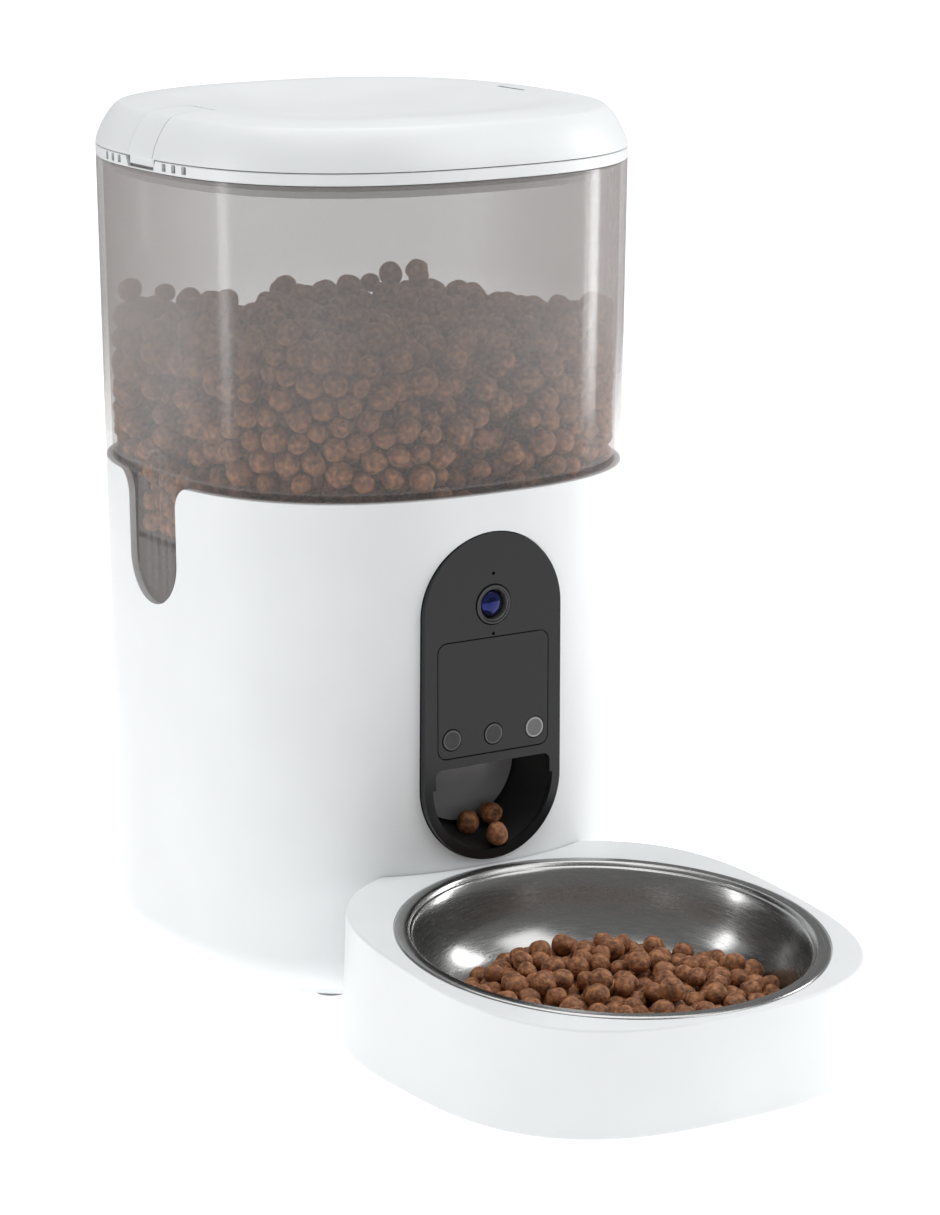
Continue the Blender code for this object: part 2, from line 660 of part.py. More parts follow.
def chute_path():
    """Centre (y, z), lean, half-width, depth below and rise above the centre, mouth to inlet."""
    mouth = MOUTH_RADIUS + GAP
    flap = CHUTE_RADIUS_AT_FLAP
    outlet_y = -(OUTLET_IN + OUTLET_OUT) / 2
    run = outlet_y - FLAP_Y
    climb = CUP_FLOOR_Z - GAP - FLAP_CENTRE_Z
    return (((CHUTE_MOUTH_Y, MOUTH_CENTRE_Z), 0, mouth, mouth, MOUTH_TOP_Z - MOUTH_CENTRE_Z + GAP),
            ((FLAP_Y + 0.002, FLAP_CENTRE_Z), 0, flap, flap, 0.0126),
            ((FLAP_Y + 0.28 * run, FLAP_CENTRE_Z + 0.08 * climb), 0, 0.0230, 0.0215, 0.0122),
            ((FLAP_Y + 0.50 * run, FLAP_CENTRE_Z + 0.32 * climb), 30, 0.0226, 0.0190, 0.0115),
            ((FLAP_Y + 0.87 * run, FLAP_CENTRE_Z + 0.65 * climb), 60, 0.0222, 0.0170, 0.0110),
            ((outlet_y - 0.0007, CUP_FLOOR_Z - GAP), 90, 0.0220, 0.0160, 0.0105))


def build_chute(body, black):
    outer = [chute_section(c, math.radians(lean), a, b, t, CHUTE_WALL) for c, lean, a, b, t in chute_path()]
    inner = [chute_section(c, math.radians(lean), a, b, t, 0.0) for c, lean, a, b, t in chute_path()]
    chute = make("chute", black, body, loft(outer + inner[::-1], looped=True))
    y, z = FLAP_Y, FLAP_CENTRE_Z + FLAP_AXIS_RISE
    cut(chute, "pin_holes", rod(FLAP_PIN_RADIUS + RUN, -0.04, 0.04, (y, z), "x", 12))
    return chute


def build_flap(body, smoke, steel):
    axis_z = FLAP_CENTRE_Z + FLAP_AXIS_RISE
    hinge = frame("flap_hinge", (0, FLAP_Y, axis_z), body)
    radius = CHUTE_RADIUS_AT_FLAP - FLAP_CLEAR
    outline = arc((0, -FLAP_AXIS_RISE), radius, 180, 360, 16) + [(radius, 0.0), (-radius, 0.0)]
    flap = make("outlet_flap", smoke, hinge, prism(outline, -FLAP_THICK / 2, FLAP_THICK / 2, "y"))
    barrel = radius - 0.003
    fuse(flap, "barrel", rod(0.0019, -barrel, barrel, (0, 0), "x", 12))
    cut(flap, "bore", rod(FLAP_PIN_RADIUS + RUN, -0.04, 0.04, (0, 0), "x", 12))
    reach = CHUTE_RADIUS_AT_FLAP + CHUTE_WALL + 0.0008
    make("flap_pin", steel, hinge, rod(FLAP_PIN_RADIUS, -reach, reach, (0, 0), "x", 12))


def sector(inner, outer, half_angle, steps=6):
    """A sector of a ring that points to the front."""
    middle, spread = -90, math.degrees(half_angle)
    return (arc((0, 0), outer, middle - spread, middle + spread, steps)
            + arc((0, 0), inner, middle + spread, middle - spread, steps))


def build_rotor_housing(body, white, grey):
    flange_half = half_at(LEDGE_Z) - HOUSING_WALL - 2 * GAP
    flange_z = LEDGE_Z + GAP
    outside = CUP_RADIUS + CUP_WALL
    rings = [level(circle(outside, count=SIDES), CUP_FLOOR_Z), level(circle(outside, count=SIDES), flange_z),
             tower_ring(flange_half, flange_z), tower_ring(flange_half, flange_z + FLANGE_THICK),
             level(circle(CUP_RADIUS, count=SIDES), flange_z + FLANGE_THICK),
             level(circle(CUP_RADIUS, count=SIDES), CUP_FLOOR_Z + CUP_FLOOR)]
    cup = make("rotor_housing", white, body, loft(rings))
    cut(cup, "camera_room", block((-PANEL_HALF - 0.004, PANEL_FRONT_Y - BEYOND, LEDGE_Z - BEYOND),
                                  (PANEL_HALF + 0.004, PANEL_FRONT_Y + 0.0213, LEDGE_Z + BEYOND)))
    cut(cup, "outlet", prism(sector(OUTLET_IN, OUTLET_OUT, OUTLET_HALF_ANGLE), CUP_FLOOR_Z - 0.002,
                             CUP_FLOOR_Z + CUP_FLOOR + 0.002))
    cut(cup, "shaft_hole", rod(SHAFT_RADIUS + RUN, CUP_FLOOR_Z - 0.002, CUP_FLOOR_Z + BEYOND))
    low = flange_z + FLANGE_THICK + GAP
    make("metering_shield", grey, body,
         prism(sector(0.0150, CUP_RADIUS + 0.007, math.radians(52), 10), low, low + SHIELD_THICK))
    return low + SHIELD_THICK


def star(blades, hub, reach, thick, tip_steps=1):
    """The outline of a hub with straight blades."""
    outline = []
    hub_angle = math.degrees(math.asin(thick / 2 / hub))
    tip_angle = math.degrees(math.asin(thick / 2 / reach))
    pitch = 360 / blades
    for blade in range(blades):
        at = blade * pitch
        outline += arc((0, 0), reach, at - tip_angle, at + tip_angle, tip_steps)
        outline += arc((0, 0), hub, at + hub_angle, at + pitch - hub_angle, 3)
    return outline


def build_rotor(body, silicone, white, steel, shield_top):
    spin = frame("rotor_axis", (0, 0, 0), body)
    bore = SHAFT_RADIUS + GAP
    low = CUP_FLOOR_Z + CUP_FLOOR + 2 * GAP
    high = shield_top - SHIELD_THICK - GAP - 2 * GAP
    rotor = make("rotor", silicone, spin, prism(star(ROTOR_BLADES, ROTOR_HUB, ROTOR_RADIUS, BLADE_THICK),
                                                low, high))
    cut(rotor, "bore", rod(bore, low - BEYOND, high + BEYOND))
    stir_low = shield_top + 2 * GAP
    stirrer = make("agitator", white, spin, prism(star(3, 0.0075, 0.0300, 0.0060, 3), stir_low,
                                                  stir_low + 0.007))
    cut(stirrer, "bore", rod(bore, stir_low - BEYOND, stir_low + 0.02))
    make("rotor_shaft", steel, spin, rod(SHAFT_RADIUS, GEARCASE_LOW_Z + 0.0004, SHAFT_TOP_Z))
    return spin


# ---------------------------------------------------------------- gear train

def involute(angle):
    return math.tan(angle) - angle


def gear_outline(teeth, turn=0.0):
    """An involute gear outline, with a tooth centred on the angle given."""
    pitch = teeth * GEAR_MODULE / 2
    base = pitch * math.cos(PRESSURE_ANGLE)
    tip = pitch + ADDENDUM * GEAR_MODULE
    root = pitch - DEDENDUM * GEAR_MODULE
    half = math.pi / (2 * teeth) - BACKLASH / (2 * pitch) + involute(PRESSURE_ANGLE)
    low = max(base, root)
    flank = (low, tip)
    widths = [half - involute(math.acos(min(1.0, base / radius))) for radius in flank]
    side = [(root, widths[0])] + list(zip(flank, widths))
    outline = []
    for tooth in range(teeth):
        middle = turn + 2 * math.pi * tooth / teeth
        for radius, width in side:
            outline.append((radius * math.cos(middle - width), radius * math.sin(middle - width)))
        for radius, width in reversed(side):
            outline.append((radius * math.cos(middle + width), radius * math.sin(middle + width)))
    return outline


def gear_places():
    """How far behind the rotor axis the idler and the pinion stand."""
    idler = (OUTPUT_TEETH + IDLER_TEETH) * GEAR_MODULE / 2
    pinion = idler + (IDLER_TEETH + PINION_TEETH) * GEAR_MODULE / 2
    return idler, pinion


def build_gears(body, spin, gear_white, brass, steel):
    """The output gear has a tooth facing back, the idler gaps front and back, the pinion a tooth in front."""
    idler_y, pinion_y = gear_places()
    gear = make("output_gear", gear_white, spin, prism(gear_outline(OUTPUT_TEETH, math.pi / 2),
                                                       GEAR_LOW_Z, GEAR_TOP_Z))
    fuse(gear, "hub", rod(0.0070, GEARCASE_LOW_Z + 0.002 + GAP, GEARCASE_TOP_Z - GAP))
    cut(gear, "bore", rod(SHAFT_RADIUS + GAP, GEARCASE_LOW_Z, GEARCASE_TOP_Z + BEYOND))
    idler_at = frame("idler_axis", (0, idler_y, 0), body)
    gap_to_front = -math.pi / 2 + math.pi / IDLER_TEETH
    idler = make("idler_gear", gear_white, idler_at,
                 prism(gear_outline(IDLER_TEETH, gap_to_front), GEAR_LOW_Z, GEAR_TOP_Z))
    cut(idler, "bore", rod(0.0015 + RUN, GEAR_LOW_Z - BEYOND, GEAR_TOP_Z + BEYOND))
    make("idler_pin", steel, idler_at,
         rod(0.0015, GEARCASE_LOW_Z + 0.0004, GEARCASE_TOP_Z - GAP, count=16))
    pinion_at = frame("pinion_axis", (0, pinion_y, 0), body)
    pinion = make("motor_pinion", brass, pinion_at,
                  prism(gear_outline(PINION_TEETH, -math.pi / 2), GEAR_LOW_Z, GEAR_TOP_Z))
    fuse(pinion, "shaft", rod(MOTOR_SHAFT_RADIUS, GEARCASE_LOW_Z - 0.006, GEAR_TOP_Z - 0.001))


def gearcase_outline(half):
    _, pinion_y = gear_places()
    return (arc((0, 0), half, 180, 360, 14) + arc((0, pinion_y - 0.006), half, 0, 180, 14))


def build_gearcase(body, grey, dark):
    idler_y, pinion_y = gear_places()
    case = make("gearbox_case", grey, body, prism(gearcase_outline(GEARCASE_HALF), GEARCASE_LOW_Z,
                                                  GEARCASE_TOP_Z))
    cut(case, "inside", prism(gearcase_outline(GEARCASE_HALF - GEARCASE_WALL), GEARCASE_LOW_Z + 0.002,
                              GEARCASE_TOP_Z + BEYOND))
    cut(case, "bores", rod(SHAFT_RADIUS + RUN, 0.09, 0.10),
        rod(0.0015 + RUN, 0.09, 0.10, (0, idler_y), count=16),
        rod(MOTOR_SHAFT_RADIUS + RUN, 0.09, 0.10, (0, pinion_y)))
    cover_low = GEARCASE_TOP_Z + GAP
    cover = make("gearbox_cover", grey, body, prism(gearcase_outline(GEARCASE_HALF), cover_low,
                                                    CUP_FLOOR_Z - GAP))
    cut(cover, "shaft_hole", rod(SHAFT_RADIUS + RUN, cover_low - BEYOND, CUP_FLOOR_Z + BEYOND))
    motor_top = GEARCASE_LOW_Z - GAP
    at = frame("motor_place", (0, pinion_y, 0), body)
    profile = [(0.006, MOTOR_LOW_Z), (0.006, MOTOR_LOW_Z + 0.002),
               (MOTOR_RADIUS - 0.0015, MOTOR_LOW_Z + 0.002),
               (MOTOR_RADIUS, MOTOR_LOW_Z + 0.0035), (MOTOR_RADIUS, motor_top - 0.018),
               (MOTOR_RADIUS - 0.001, motor_top - 0.0175), (MOTOR_RADIUS - 0.001, motor_top)]
    motor = make("gear_motor", dark, at, turned(profile, SMOOTH))
    cut(motor, "shaft_hole", rod(MOTOR_SHAFT_RADIUS + RUN, motor_top - 0.007, motor_top + BEYOND))


# ---------------------------------------------------------------- front panel

def mouth_outline():
    """The mouth: half-round below, a small step, and a flat top with round corners."""
    corner = 0.003
    right = arc((0, MOUTH_CENTRE_Z), MOUTH_RADIUS, -90, 0, 8)
    right.append((MOUTH_SHOULDER, MOUTH_CENTRE_Z))
    right += arc((MOUTH_SHOULDER - corner, MOUTH_TOP_Z - corner), corner, 0, 90, 3)
    return right + [(-x, z) for x, z in reversed(right[1:])]


def build_panel(body, gloss, ring_grey, glass, board_green, button_black, button_grey):
    front, back = PANEL_FRONT_Y, PANEL_FRONT_Y + PANEL_PLATE
    panel = make("front_panel", gloss, body,
                 prism(capsule(PANEL_HALF, PANEL_LOW_Z, PANEL_TOP_Z), front, PANEL_SKIRT_Y, "y"))
    cut(panel, "hollow", prism(capsule(PANEL_HALF - PANEL_SKIRT_WALL, PANEL_LOW_Z + PANEL_SKIRT_WALL,
                                       PANEL_TOP_Z - PANEL_SKIRT_WALL), back, PANEL_SKIRT_Y + BEYOND, "y"))
    cut(panel, "mouth", prism(mouth_outline(), front - BEYOND, back + BEYOND, "y"))
    pocket = rounded((-CONTROL_HALF - GAP, CONTROL_LOW_Z - GAP), (CONTROL_HALF + GAP, CONTROL_TOP_Z + GAP),
                     CONTROL_CORNER + GAP)
    cut(panel, "control_pocket", prism(pocket, front - BEYOND, front + CONTROL_PLATE + GAP, "y"))
    holes = [rod(BUTTON_RADIUS + BUTTON_CLEAR + GAP, front - BEYOND, back + BEYOND, (x, BUTTON_Z), "y")
             for x in button_places()]
    holes += [rod(LENS_RING_RADIUS + GAP, front - BEYOND, back + BEYOND, (0, LENS_Z), "y")]
    holes += [rod(PINHOLE_RADIUS, front - BEYOND, back + BEYOND, (0, z), "y", 8) for z in (MIC_Z, STATUS_Z)]
    cut(panel, "holes", *holes)
    plate = make("control_plate", gloss, body,
                 prism(rounded((-CONTROL_HALF, CONTROL_LOW_Z), (CONTROL_HALF, CONTROL_TOP_Z), CONTROL_CORNER),
                       front, front + CONTROL_PLATE, "y"))
    cut(plate, "button_holes", *[rod(BUTTON_RADIUS + BUTTON_CLEAR, front - BEYOND, back, (x, BUTTON_Z), "y")
                                 for x in button_places()])
    build_buttons(body, back, button_black, button_grey)
    build_camera(body, back, ring_grey, glass, board_green)
    board_y = back + GAP + PLUNGER_REACH + BUTTON_TRAVEL + 0.0001 + SWITCH_HEIGHT
    board = make("button_board", board_green, body,
                 prism(rectangle((-0.0255, 0.0975), (0.0255, 0.1085)), board_y, board_y + 0.0016, "y"))
    fuse(board, "switches", *[prism(rectangle((x - 0.003, BUTTON_Z - 0.003), (x + 0.003, BUTTON_Z + 0.003)),
                                    board_y - SWITCH_HEIGHT, board_y + 0.0005, "y") for x in button_places()])
    fuse(board, "panel_studs", *[rod(0.0016, back + GAP, board_y + 0.0005, (x, BUTTON_Z + 0.0035), "y", 10)
                                 for x in (-BUTTON_PITCH / 2, BUTTON_PITCH / 2)])


def button_places():
    return [(k - 1) * BUTTON_PITCH for k in range(3)]


def build_buttons(body, back, black, grey):
    names = ("button_left", "button_centre", "button_right")
    for name, x, material in zip(names, button_places(), (black, black, grey)):
        at = frame(f"{name}_slide", (x, PANEL_FRONT_Y, BUTTON_Z), body)
        flange = back - PANEL_FRONT_Y + GAP
        rings = [(BUTTON_RADIUS - 0.0004, -BUTTON_PROUD), (BUTTON_RADIUS, 0.0001), (BUTTON_RADIUS, flange),
                 (BUTTON_FLANGE, flange), (BUTTON_FLANGE, flange + 0.0008), (0.0020, flange + 0.0008),
                 (0.0020, flange + PLUNGER_REACH)]
        make(name, material, at, loft([[(u, w, v) for u, v in circle(r)] for r, w in rings]))


def build_camera(body, back, ring_grey, glass, board_green):
    at = frame("camera_place", (0, PANEL_FRONT_Y, LENS_Z), body)
    inner = LENS_RADIUS + 2 * GAP
    ring = [(LENS_RING_RADIUS - 0.0003, -0.0004), (LENS_RING_RADIUS, 0.0), (LENS_RING_RADIUS, 0.0040),
            (inner, 0.0040), (inner, 0.0006), (inner + 0.0009, -0.0004)]
    make("lens_ring", ring_grey, at, loft([[(u, w, v) for u, v in circle(r)] for r, w in ring], looped=True))
    dome = [(0.0012, 0.0004), (0.0030, 0.0007), (0.0044, 0.0012), (LENS_RADIUS, 0.0020),
            (LENS_RADIUS, 0.0040)]
    make("camera_lens", glass, at, loft([[(u, w, v) for u, v in circle(r)] for r, w in dome]))
    depth = back - PANEL_FRONT_Y + 0.0065
    module = make("camera_module", board_green, at,
                  prism(rectangle((-0.012, -0.010), (0.012, 0.012)), depth, depth + 0.0016, "y"))
    fuse(module, "barrel", rod(0.0066, 0.0040 + GAP, depth + 0.0005, (0, 0), "y"))


# ---------------------------------------------------------------- hopper

def build_hopper(body, smoke, white):
    """A straight-sided tank with two tongues, and a funnel joined under its lower edge."""
    lift = frame("hopper_lift", (0, 0, 0), body)
    rim_low = LID_SEAM_Z - RIM_HEIGHT
    lip_half = half_at(LID_SEAM_Z) - RIM_WALL - GAP
    top = LID_SEAM_Z - LID_SEAM_GAP / 2
    under = tank_under_half()
    foot = HOPPER_SEAM_Z + GAP
    outer = [tower_ring(lip_half, top), tower_ring(lip_half, rim_low), tower_ring(half_at(rim_low), rim_low),
             tower_ring(half_at(foot), foot), tower_ring(under, foot), tower_ring(under, TANK_SHOULDER_Z)]
    tank = make("hopper_tank", smoke, lift, loft(outer))
    fuse(tank, "tongues", *[tongue(side) for side in (-1, 1)])
    inside = half_at(rim_low) - TANK_WALL
    step = foot + TANK_WALL
    cavity = [tower_ring(inside, top + BEYOND), tower_ring(inside, rim_low),
              tower_ring(half_at(step) - TANK_WALL, step), tower_ring(under - TANK_WALL, step),
              tower_ring(under - TANK_WALL, TANK_SHOULDER_Z - BEYOND)]
    cut(tank, "cavity", loft(cavity))
    cut(tank, "pockets", *pocket(-1), *pocket(1))
    build_funnel(lift, smoke)
    build_rim(lift, white)
    return lift


def tank_under_half():
    """Half the width of the tank's lower part, which stands inside the housing."""
    return half_at(HOPPER_SEAM_Z) - HOUSING_WALL - TANK_STEP


def build_funnel(lift, smoke):
    under, neck = tank_under_half(), FUNNEL_RADIUS - TANK_WALL
    top = TANK_SHOULDER_Z - GAP
    flange = top - FUNNEL_FLANGE
    outer = [tower_ring(under, top), tower_ring(under, flange),
             level(circle(FUNNEL_RADIUS, count=SIDES), FUNNEL_Z),
             level(circle(FUNNEL_RADIUS, count=SIDES), SPIGOT_Z)]
    inner = [level(circle(neck, count=SIDES), SPIGOT_Z), level(circle(neck, count=SIDES), FUNNEL_Z + 0.0008),
             tower_ring(under - TANK_WALL, flange), tower_ring(under - TANK_WALL, top)]
    funnel = make("hopper_funnel", smoke, lift, loft(outer + inner, looped=True))
    room = [tongue_room(side) for side in (-1, 1)]
    cut(funnel, "tongue_room", *room)


def tongue_room(side):
    """The space that a tongue takes in the funnel's edge."""
    near = half_at(TONGUE_LOW_Z) - TONGUE_DEPTH - GAP
    half = TONGUE_HALF + GAP
    low, high = box_corners(side, near, LID_HALF, half, TONGUE_LOW_Z - BEYOND, HOPPER_SEAM_Z)
    return block(low, high)


def tongue(side):
    """A side tongue whose outer face is flush with the housing."""
    outline = window_outline(0.0)
    near = [(side * flush_x(y, z), y, z) for y, z in outline]
    far = [(side * (half_at(z) - TONGUE_DEPTH), y, z) for y, z in outline]
    return loft([near, far])


def flush_x(y, z):
    """How far out the tower's side is at a point of its side face."""
    half = half_at(min(z, HOPPER_SEAM_Z))
    return half * (1 - (abs(y) / half) ** SECTION_POWER) ** (1 / SECTION_POWER)


def pocket(side):
    """The hollow of a tongue: open to the funnel above its floor, open to the inside below it."""
    face = half_at(HOPPER_SEAM_Z) - HOUSING_WALL - 0.0004
    deep = face - TONGUE_DEPTH + 2 * TANK_WALL
    half = TONGUE_HALF - TANK_WALL
    above = block(*box_corners(side, deep, face, half, POCKET_FLOOR_Z, HOPPER_SEAM_Z - 0.001))
    below = block(*box_corners(side, deep - 2 * TANK_WALL, face, half, TONGUE_LOW_Z - BEYOND,
                               POCKET_FLOOR_Z - TANK_WALL))
    return above, below


def box_corners(side, near, far, half, low, high):
    xs = sorted((side * near, side * far))
    return (xs[0], -half, low), (xs[1], half, high)


def build_rim(lift, white):
    low = LID_SEAM_Z - RIM_HEIGHT + GAP
    top = LID_SEAM_Z - LID_SEAM_GAP / 2
    inner = half_at(LID_SEAM_Z) - RIM_WALL
    rings = [tower_ring(half_at(low), low), tower_ring(half_at(top), top),
             tower_ring(inner, top), tower_ring(inner, low)]
    rim = make("hopper_rim", white, lift, loft(rings, looped=True))
    recess = [(-RECESS_TOP_HALF, top + 0.002), (-RECESS_TOP_HALF, top),
              (-RECESS_LOW_HALF, top - RECESS_DEPTH),
              (RECESS_LOW_HALF, top - RECESS_DEPTH), (RECESS_TOP_HALF, top), (RECESS_TOP_HALF, top + 0.002)]
    shapes = []
    for side in (-1, 1):
        ends = sorted((side * (LID_HALF - BEYOND), side * (LID_HALF + BEYOND)))
        shapes.append(prism(recess, *ends, "x"))
        for way in (-1, 1):
            for k in range(3):
                y = way * (RECESS_TOP_HALF + 0.0058 + 0.0062 * k)
                notch = rectangle((y - NOTCH_WIDTH / 2, top - 0.0002 - NOTCH_HEIGHT),
                                  (y + NOTCH_WIDTH / 2, top - 0.0004))
                shapes.append(prism(notch, *ends, "x"))
    cut(rim, "recesses", *shapes)


# ---------------------------------------------------------------- lid

def lid_profile():
    """The lid's outside as (inset from the edge, height above the seam), edge to middle."""
    steps = 5
    power = 2 / LID_EDGE_POWER
    edge = []
    for k in range(steps + 1):
        angle = math.pi / 2 * k / steps
        edge.append((LID_EDGE_INSET * (1 - math.cos(angle) ** power),
                     LID_EDGE_RISE * math.sin(angle) ** power))
    return edge + list(LID_DISH)


def lid_rings(path):
    base = LID_SEAM_Z + LID_SEAM_GAP / 2
    return [tower_ring(LID_HALF - inset, base + height) for inset, height in path]


def build_lid(lift, white, liner_white, rubber, steel):
    lid = frame("lid_lift", (0, 0, 0), lift)
    outside = lid_profile()
    inside = offset_path(outside, LID_WALL)
    inside = inside[:-len(LID_DISH)] + inside[-len(LID_DISH)::2] + inside[-1:]
    inside[0] = (LID_WALL, 0.0)
    shell = make("lid_shell", white, lid, loft(lid_rings(outside[::-1]) + lid_rings(inside)))
    axis_x, axis_z = latch_axis()
    lugs, slots, bores = [], [], []
    for side in (-1, 1):
        for way in (-1, 1):
            y = sorted((way * (LATCH_HALF + LATCH_CLEAR), way * (LATCH_HALF + LATCH_CLEAR + 0.003)))
            x = sorted((side * (axis_x - 0.0035), side * (axis_x + 0.0035)))
            lugs.append(block((x[0], y[0], axis_z - 0.0035), (x[1], y[1], axis_z + 0.0018)))
        x = sorted((side * (axis_x - LATCH_BARREL - LATCH_SLIT), side * (LID_HALF + BEYOND)))
        slots.append(block((x[0], -LATCH_HALF - LATCH_CLEAR, LID_SEAM_Z - BEYOND),
                           (x[1], LATCH_HALF + LATCH_CLEAR, LID_SEAM_Z + 0.03)))
        bores.append(rod(LATCH_PIN_RADIUS + RUN, -0.02, 0.02, (side * axis_x, axis_z), "y", 12))
    fuse(shell, "latch_lugs", *lugs)
    cut(shell, "latch_slots", *slots)
    cut(shell, "latch_bores", *bores)
    build_liner(lid, liner_white, rubber)
    for side, name in ((-1, "left"), (1, "right")):
        build_latch(lid, side, name, white, steel)
    return lid


def latch_axis():
    """The latch's hinge, as its distance from the middle and its height."""
    surface = LID_SEAM_Z + LID_SEAM_GAP / 2 + LID_DISH[1][1]
    return LID_HALF - LATCH_INSET, surface - 0.0030


def build_latch(lid, side, name, white, steel):
    """A strip that follows the lid's rounded edge, with a barrel at the top and a tab at the bottom."""
    axis_x, axis_z = latch_axis()
    hinge = frame(f"latch_hinge_{name}", (side * axis_x, 0, axis_z), lid)
    base = LID_SEAM_Z + LID_SEAM_GAP / 2
    path = [point for point in lid_profile() if point[0] < LATCH_INSET]
    path.append((LATCH_INSET + LATCH_BARREL, LID_DISH[2][1]))
    inner = offset_path(path, LATCH_THICK)
    inner[0] = (LATCH_THICK, 0.0)
    outline = [(LID_HALF - inset - axis_x, base + height - axis_z) for inset, height in path + inner[::-1]]
    tab_out, tab_in = LID_HALF - 0.0008 - axis_x, LID_HALF - 0.0016 - axis_x
    foot = base - axis_z
    outline += [(tab_in, foot), (tab_in, foot - 0.0030), (tab_out, foot - 0.0030), (tab_out, foot)]
    outline = [(side * x, z) for x, z in outline]
    latch = make(f"latch_{name}", white, hinge, prism(outline, -LATCH_HALF, LATCH_HALF, "y"))
    fuse(latch, "barrel", rod(LATCH_BARREL, -LATCH_HALF + 0.0004, LATCH_HALF - 0.0004, (0, 0), "y", 16))
    cut(latch, "bore", rod(LATCH_PIN_RADIUS + RUN, -0.02, 0.02, (0, 0), "y", 12))
    reach = LATCH_HALF + LATCH_CLEAR + 0.0028
    make(f"latch_pin_{name}", steel, hinge, rod(LATCH_PIN_RADIUS, -reach, reach, (0, 0), "y", 12))


def build_liner(lid, white, rubber):
    flange_low = LID_SEAM_Z + LID_SEAM_GAP / 2 + GAP
    flange_half = LID_HALF - LID_WALL - 2 * GAP
    rings = [tower_ring(LINER_HALF, LINER_LOW_Z), tower_ring(LINER_HALF, flange_low),
             tower_ring(flange_half, flange_low), tower_ring(flange_half, flange_low + 0.0016),
             tower_ring(LINER_HALF, flange_low + 0.0020), tower_ring(LINER_HALF - 0.001, LINER_TOP_Z),
             tower_ring(0.030, LINER_TOP_Z)]
    inner = LINER_HALF - LINER_WALL
    rings += [tower_ring(0.030, LINER_TOP_Z - LINER_WALL), tower_ring(inner, LINER_TOP_Z - LINER_WALL),
              tower_ring(inner, LINER_LOW_Z)]
    liner = make("lid_liner", white, lid, loft(rings, looped=True))
    fuse(liner, "middle", rod(DESICCANT_RADIUS + 0.008, LINER_TOP_Z - LINER_WALL, LINER_TOP_Z - 0.0001,
                              count=SIDES))
    lip = half_at(LID_SEAM_Z - RIM_HEIGHT) - TANK_WALL - GAP
    seal = [tower_ring(LINER_HALF + GAP, SEAL_LOW_Z), tower_ring(LINER_HALF + GAP, SEAL_TOP_Z),
            tower_ring(lip - 0.0004, SEAL_TOP_Z - 0.0006), tower_ring(lip, SEAL_LOW_Z + 0.0015),
            tower_ring(lip - 0.0004, SEAL_LOW_Z + 0.0006)]
    make("lid_seal", rubber, lid, loft(seal, looped=True))
    build_desiccant(lid, white, rubber)


def build_desiccant(lid, white, grey):
    top = LINER_TOP_Z - LINER_WALL - GAP
    wall = 0.0016
    profile = [(DESICCANT_RADIUS, DESICCANT_LOW_Z), (DESICCANT_RADIUS, top - 0.002),
               (DESICCANT_RADIUS + 0.004, top - 0.002), (DESICCANT_RADIUS + 0.004, top),
               (DESICCANT_RADIUS - wall, top), (DESICCANT_RADIUS - wall, DESICCANT_LOW_Z)]
    make("desiccant_box", white, lid, turned(profile, SIDES, looped=True))
    turn = frame("desiccant_twist", (0, 0, 0), lid)
    low = DESICCANT_LOW_Z - GAP - DESICCANT_COVER
    high = DESICCANT_LOW_Z - GAP
    plug = DESICCANT_RADIUS - wall - 2 * GAP
    profile = [(DESICCANT_RADIUS - 0.0004, low), (DESICCANT_RADIUS, low + 0.0005), (DESICCANT_RADIUS, high),
               (plug, high), (plug, high + 0.003), (plug - 0.0014, high + 0.003),
               (plug - 0.0014, high - 0.0004)]
    cover = make("desiccant_cover", grey, turn, turned(profile, SIDES))
    slots = []
    for row in range(-2, 3):
        y = row * 0.008
        half = math.sqrt(0.022 ** 2 - y ** 2)
        slots.append(block((-half, y - 0.0012, low - BEYOND), (half, y + 0.0012, high + BEYOND)))
    cut(cover, "slots", *slots)


# ---------------------------------------------------------------- tray and bowl

def tray_top_z(y):
    """Height of the tray's sloping top at a distance ahead (-) or behind (+) its centre."""
    return TRAY_TOP_Z + math.tan(TRAY_TILT) * y


def tray_rings(inset, low, drop):
    """The tray's outline from a level floor to its sloping top, moved in by a wall."""
    foot = level(squircle(TRAY_HALF_WIDTH - inset, TRAY_HALF_LENGTH - inset, TRAY_POWER), low)
    narrow = inset + TRAY_TOP_DRAFT
    top = squircle(TRAY_HALF_WIDTH - narrow, TRAY_HALF_LENGTH - narrow, TRAY_POWER)
    return [foot, [(x, y, tray_top_z(y) - drop) for x, y in top]]


def tower_clearance(grow):
    """The tower's outside grown by a gap, which the tray's back is cut to."""
    rings = [tower_ring(half_at(z) - inset + grow, z) for inset, z in housing_bottom()]
    first = [(x, y, -0.02) for x, y, _ in rings[0]]
    rings.append(tower_ring(half_at(0.12) + grow, 0.12))
    return loft([first] + rings)


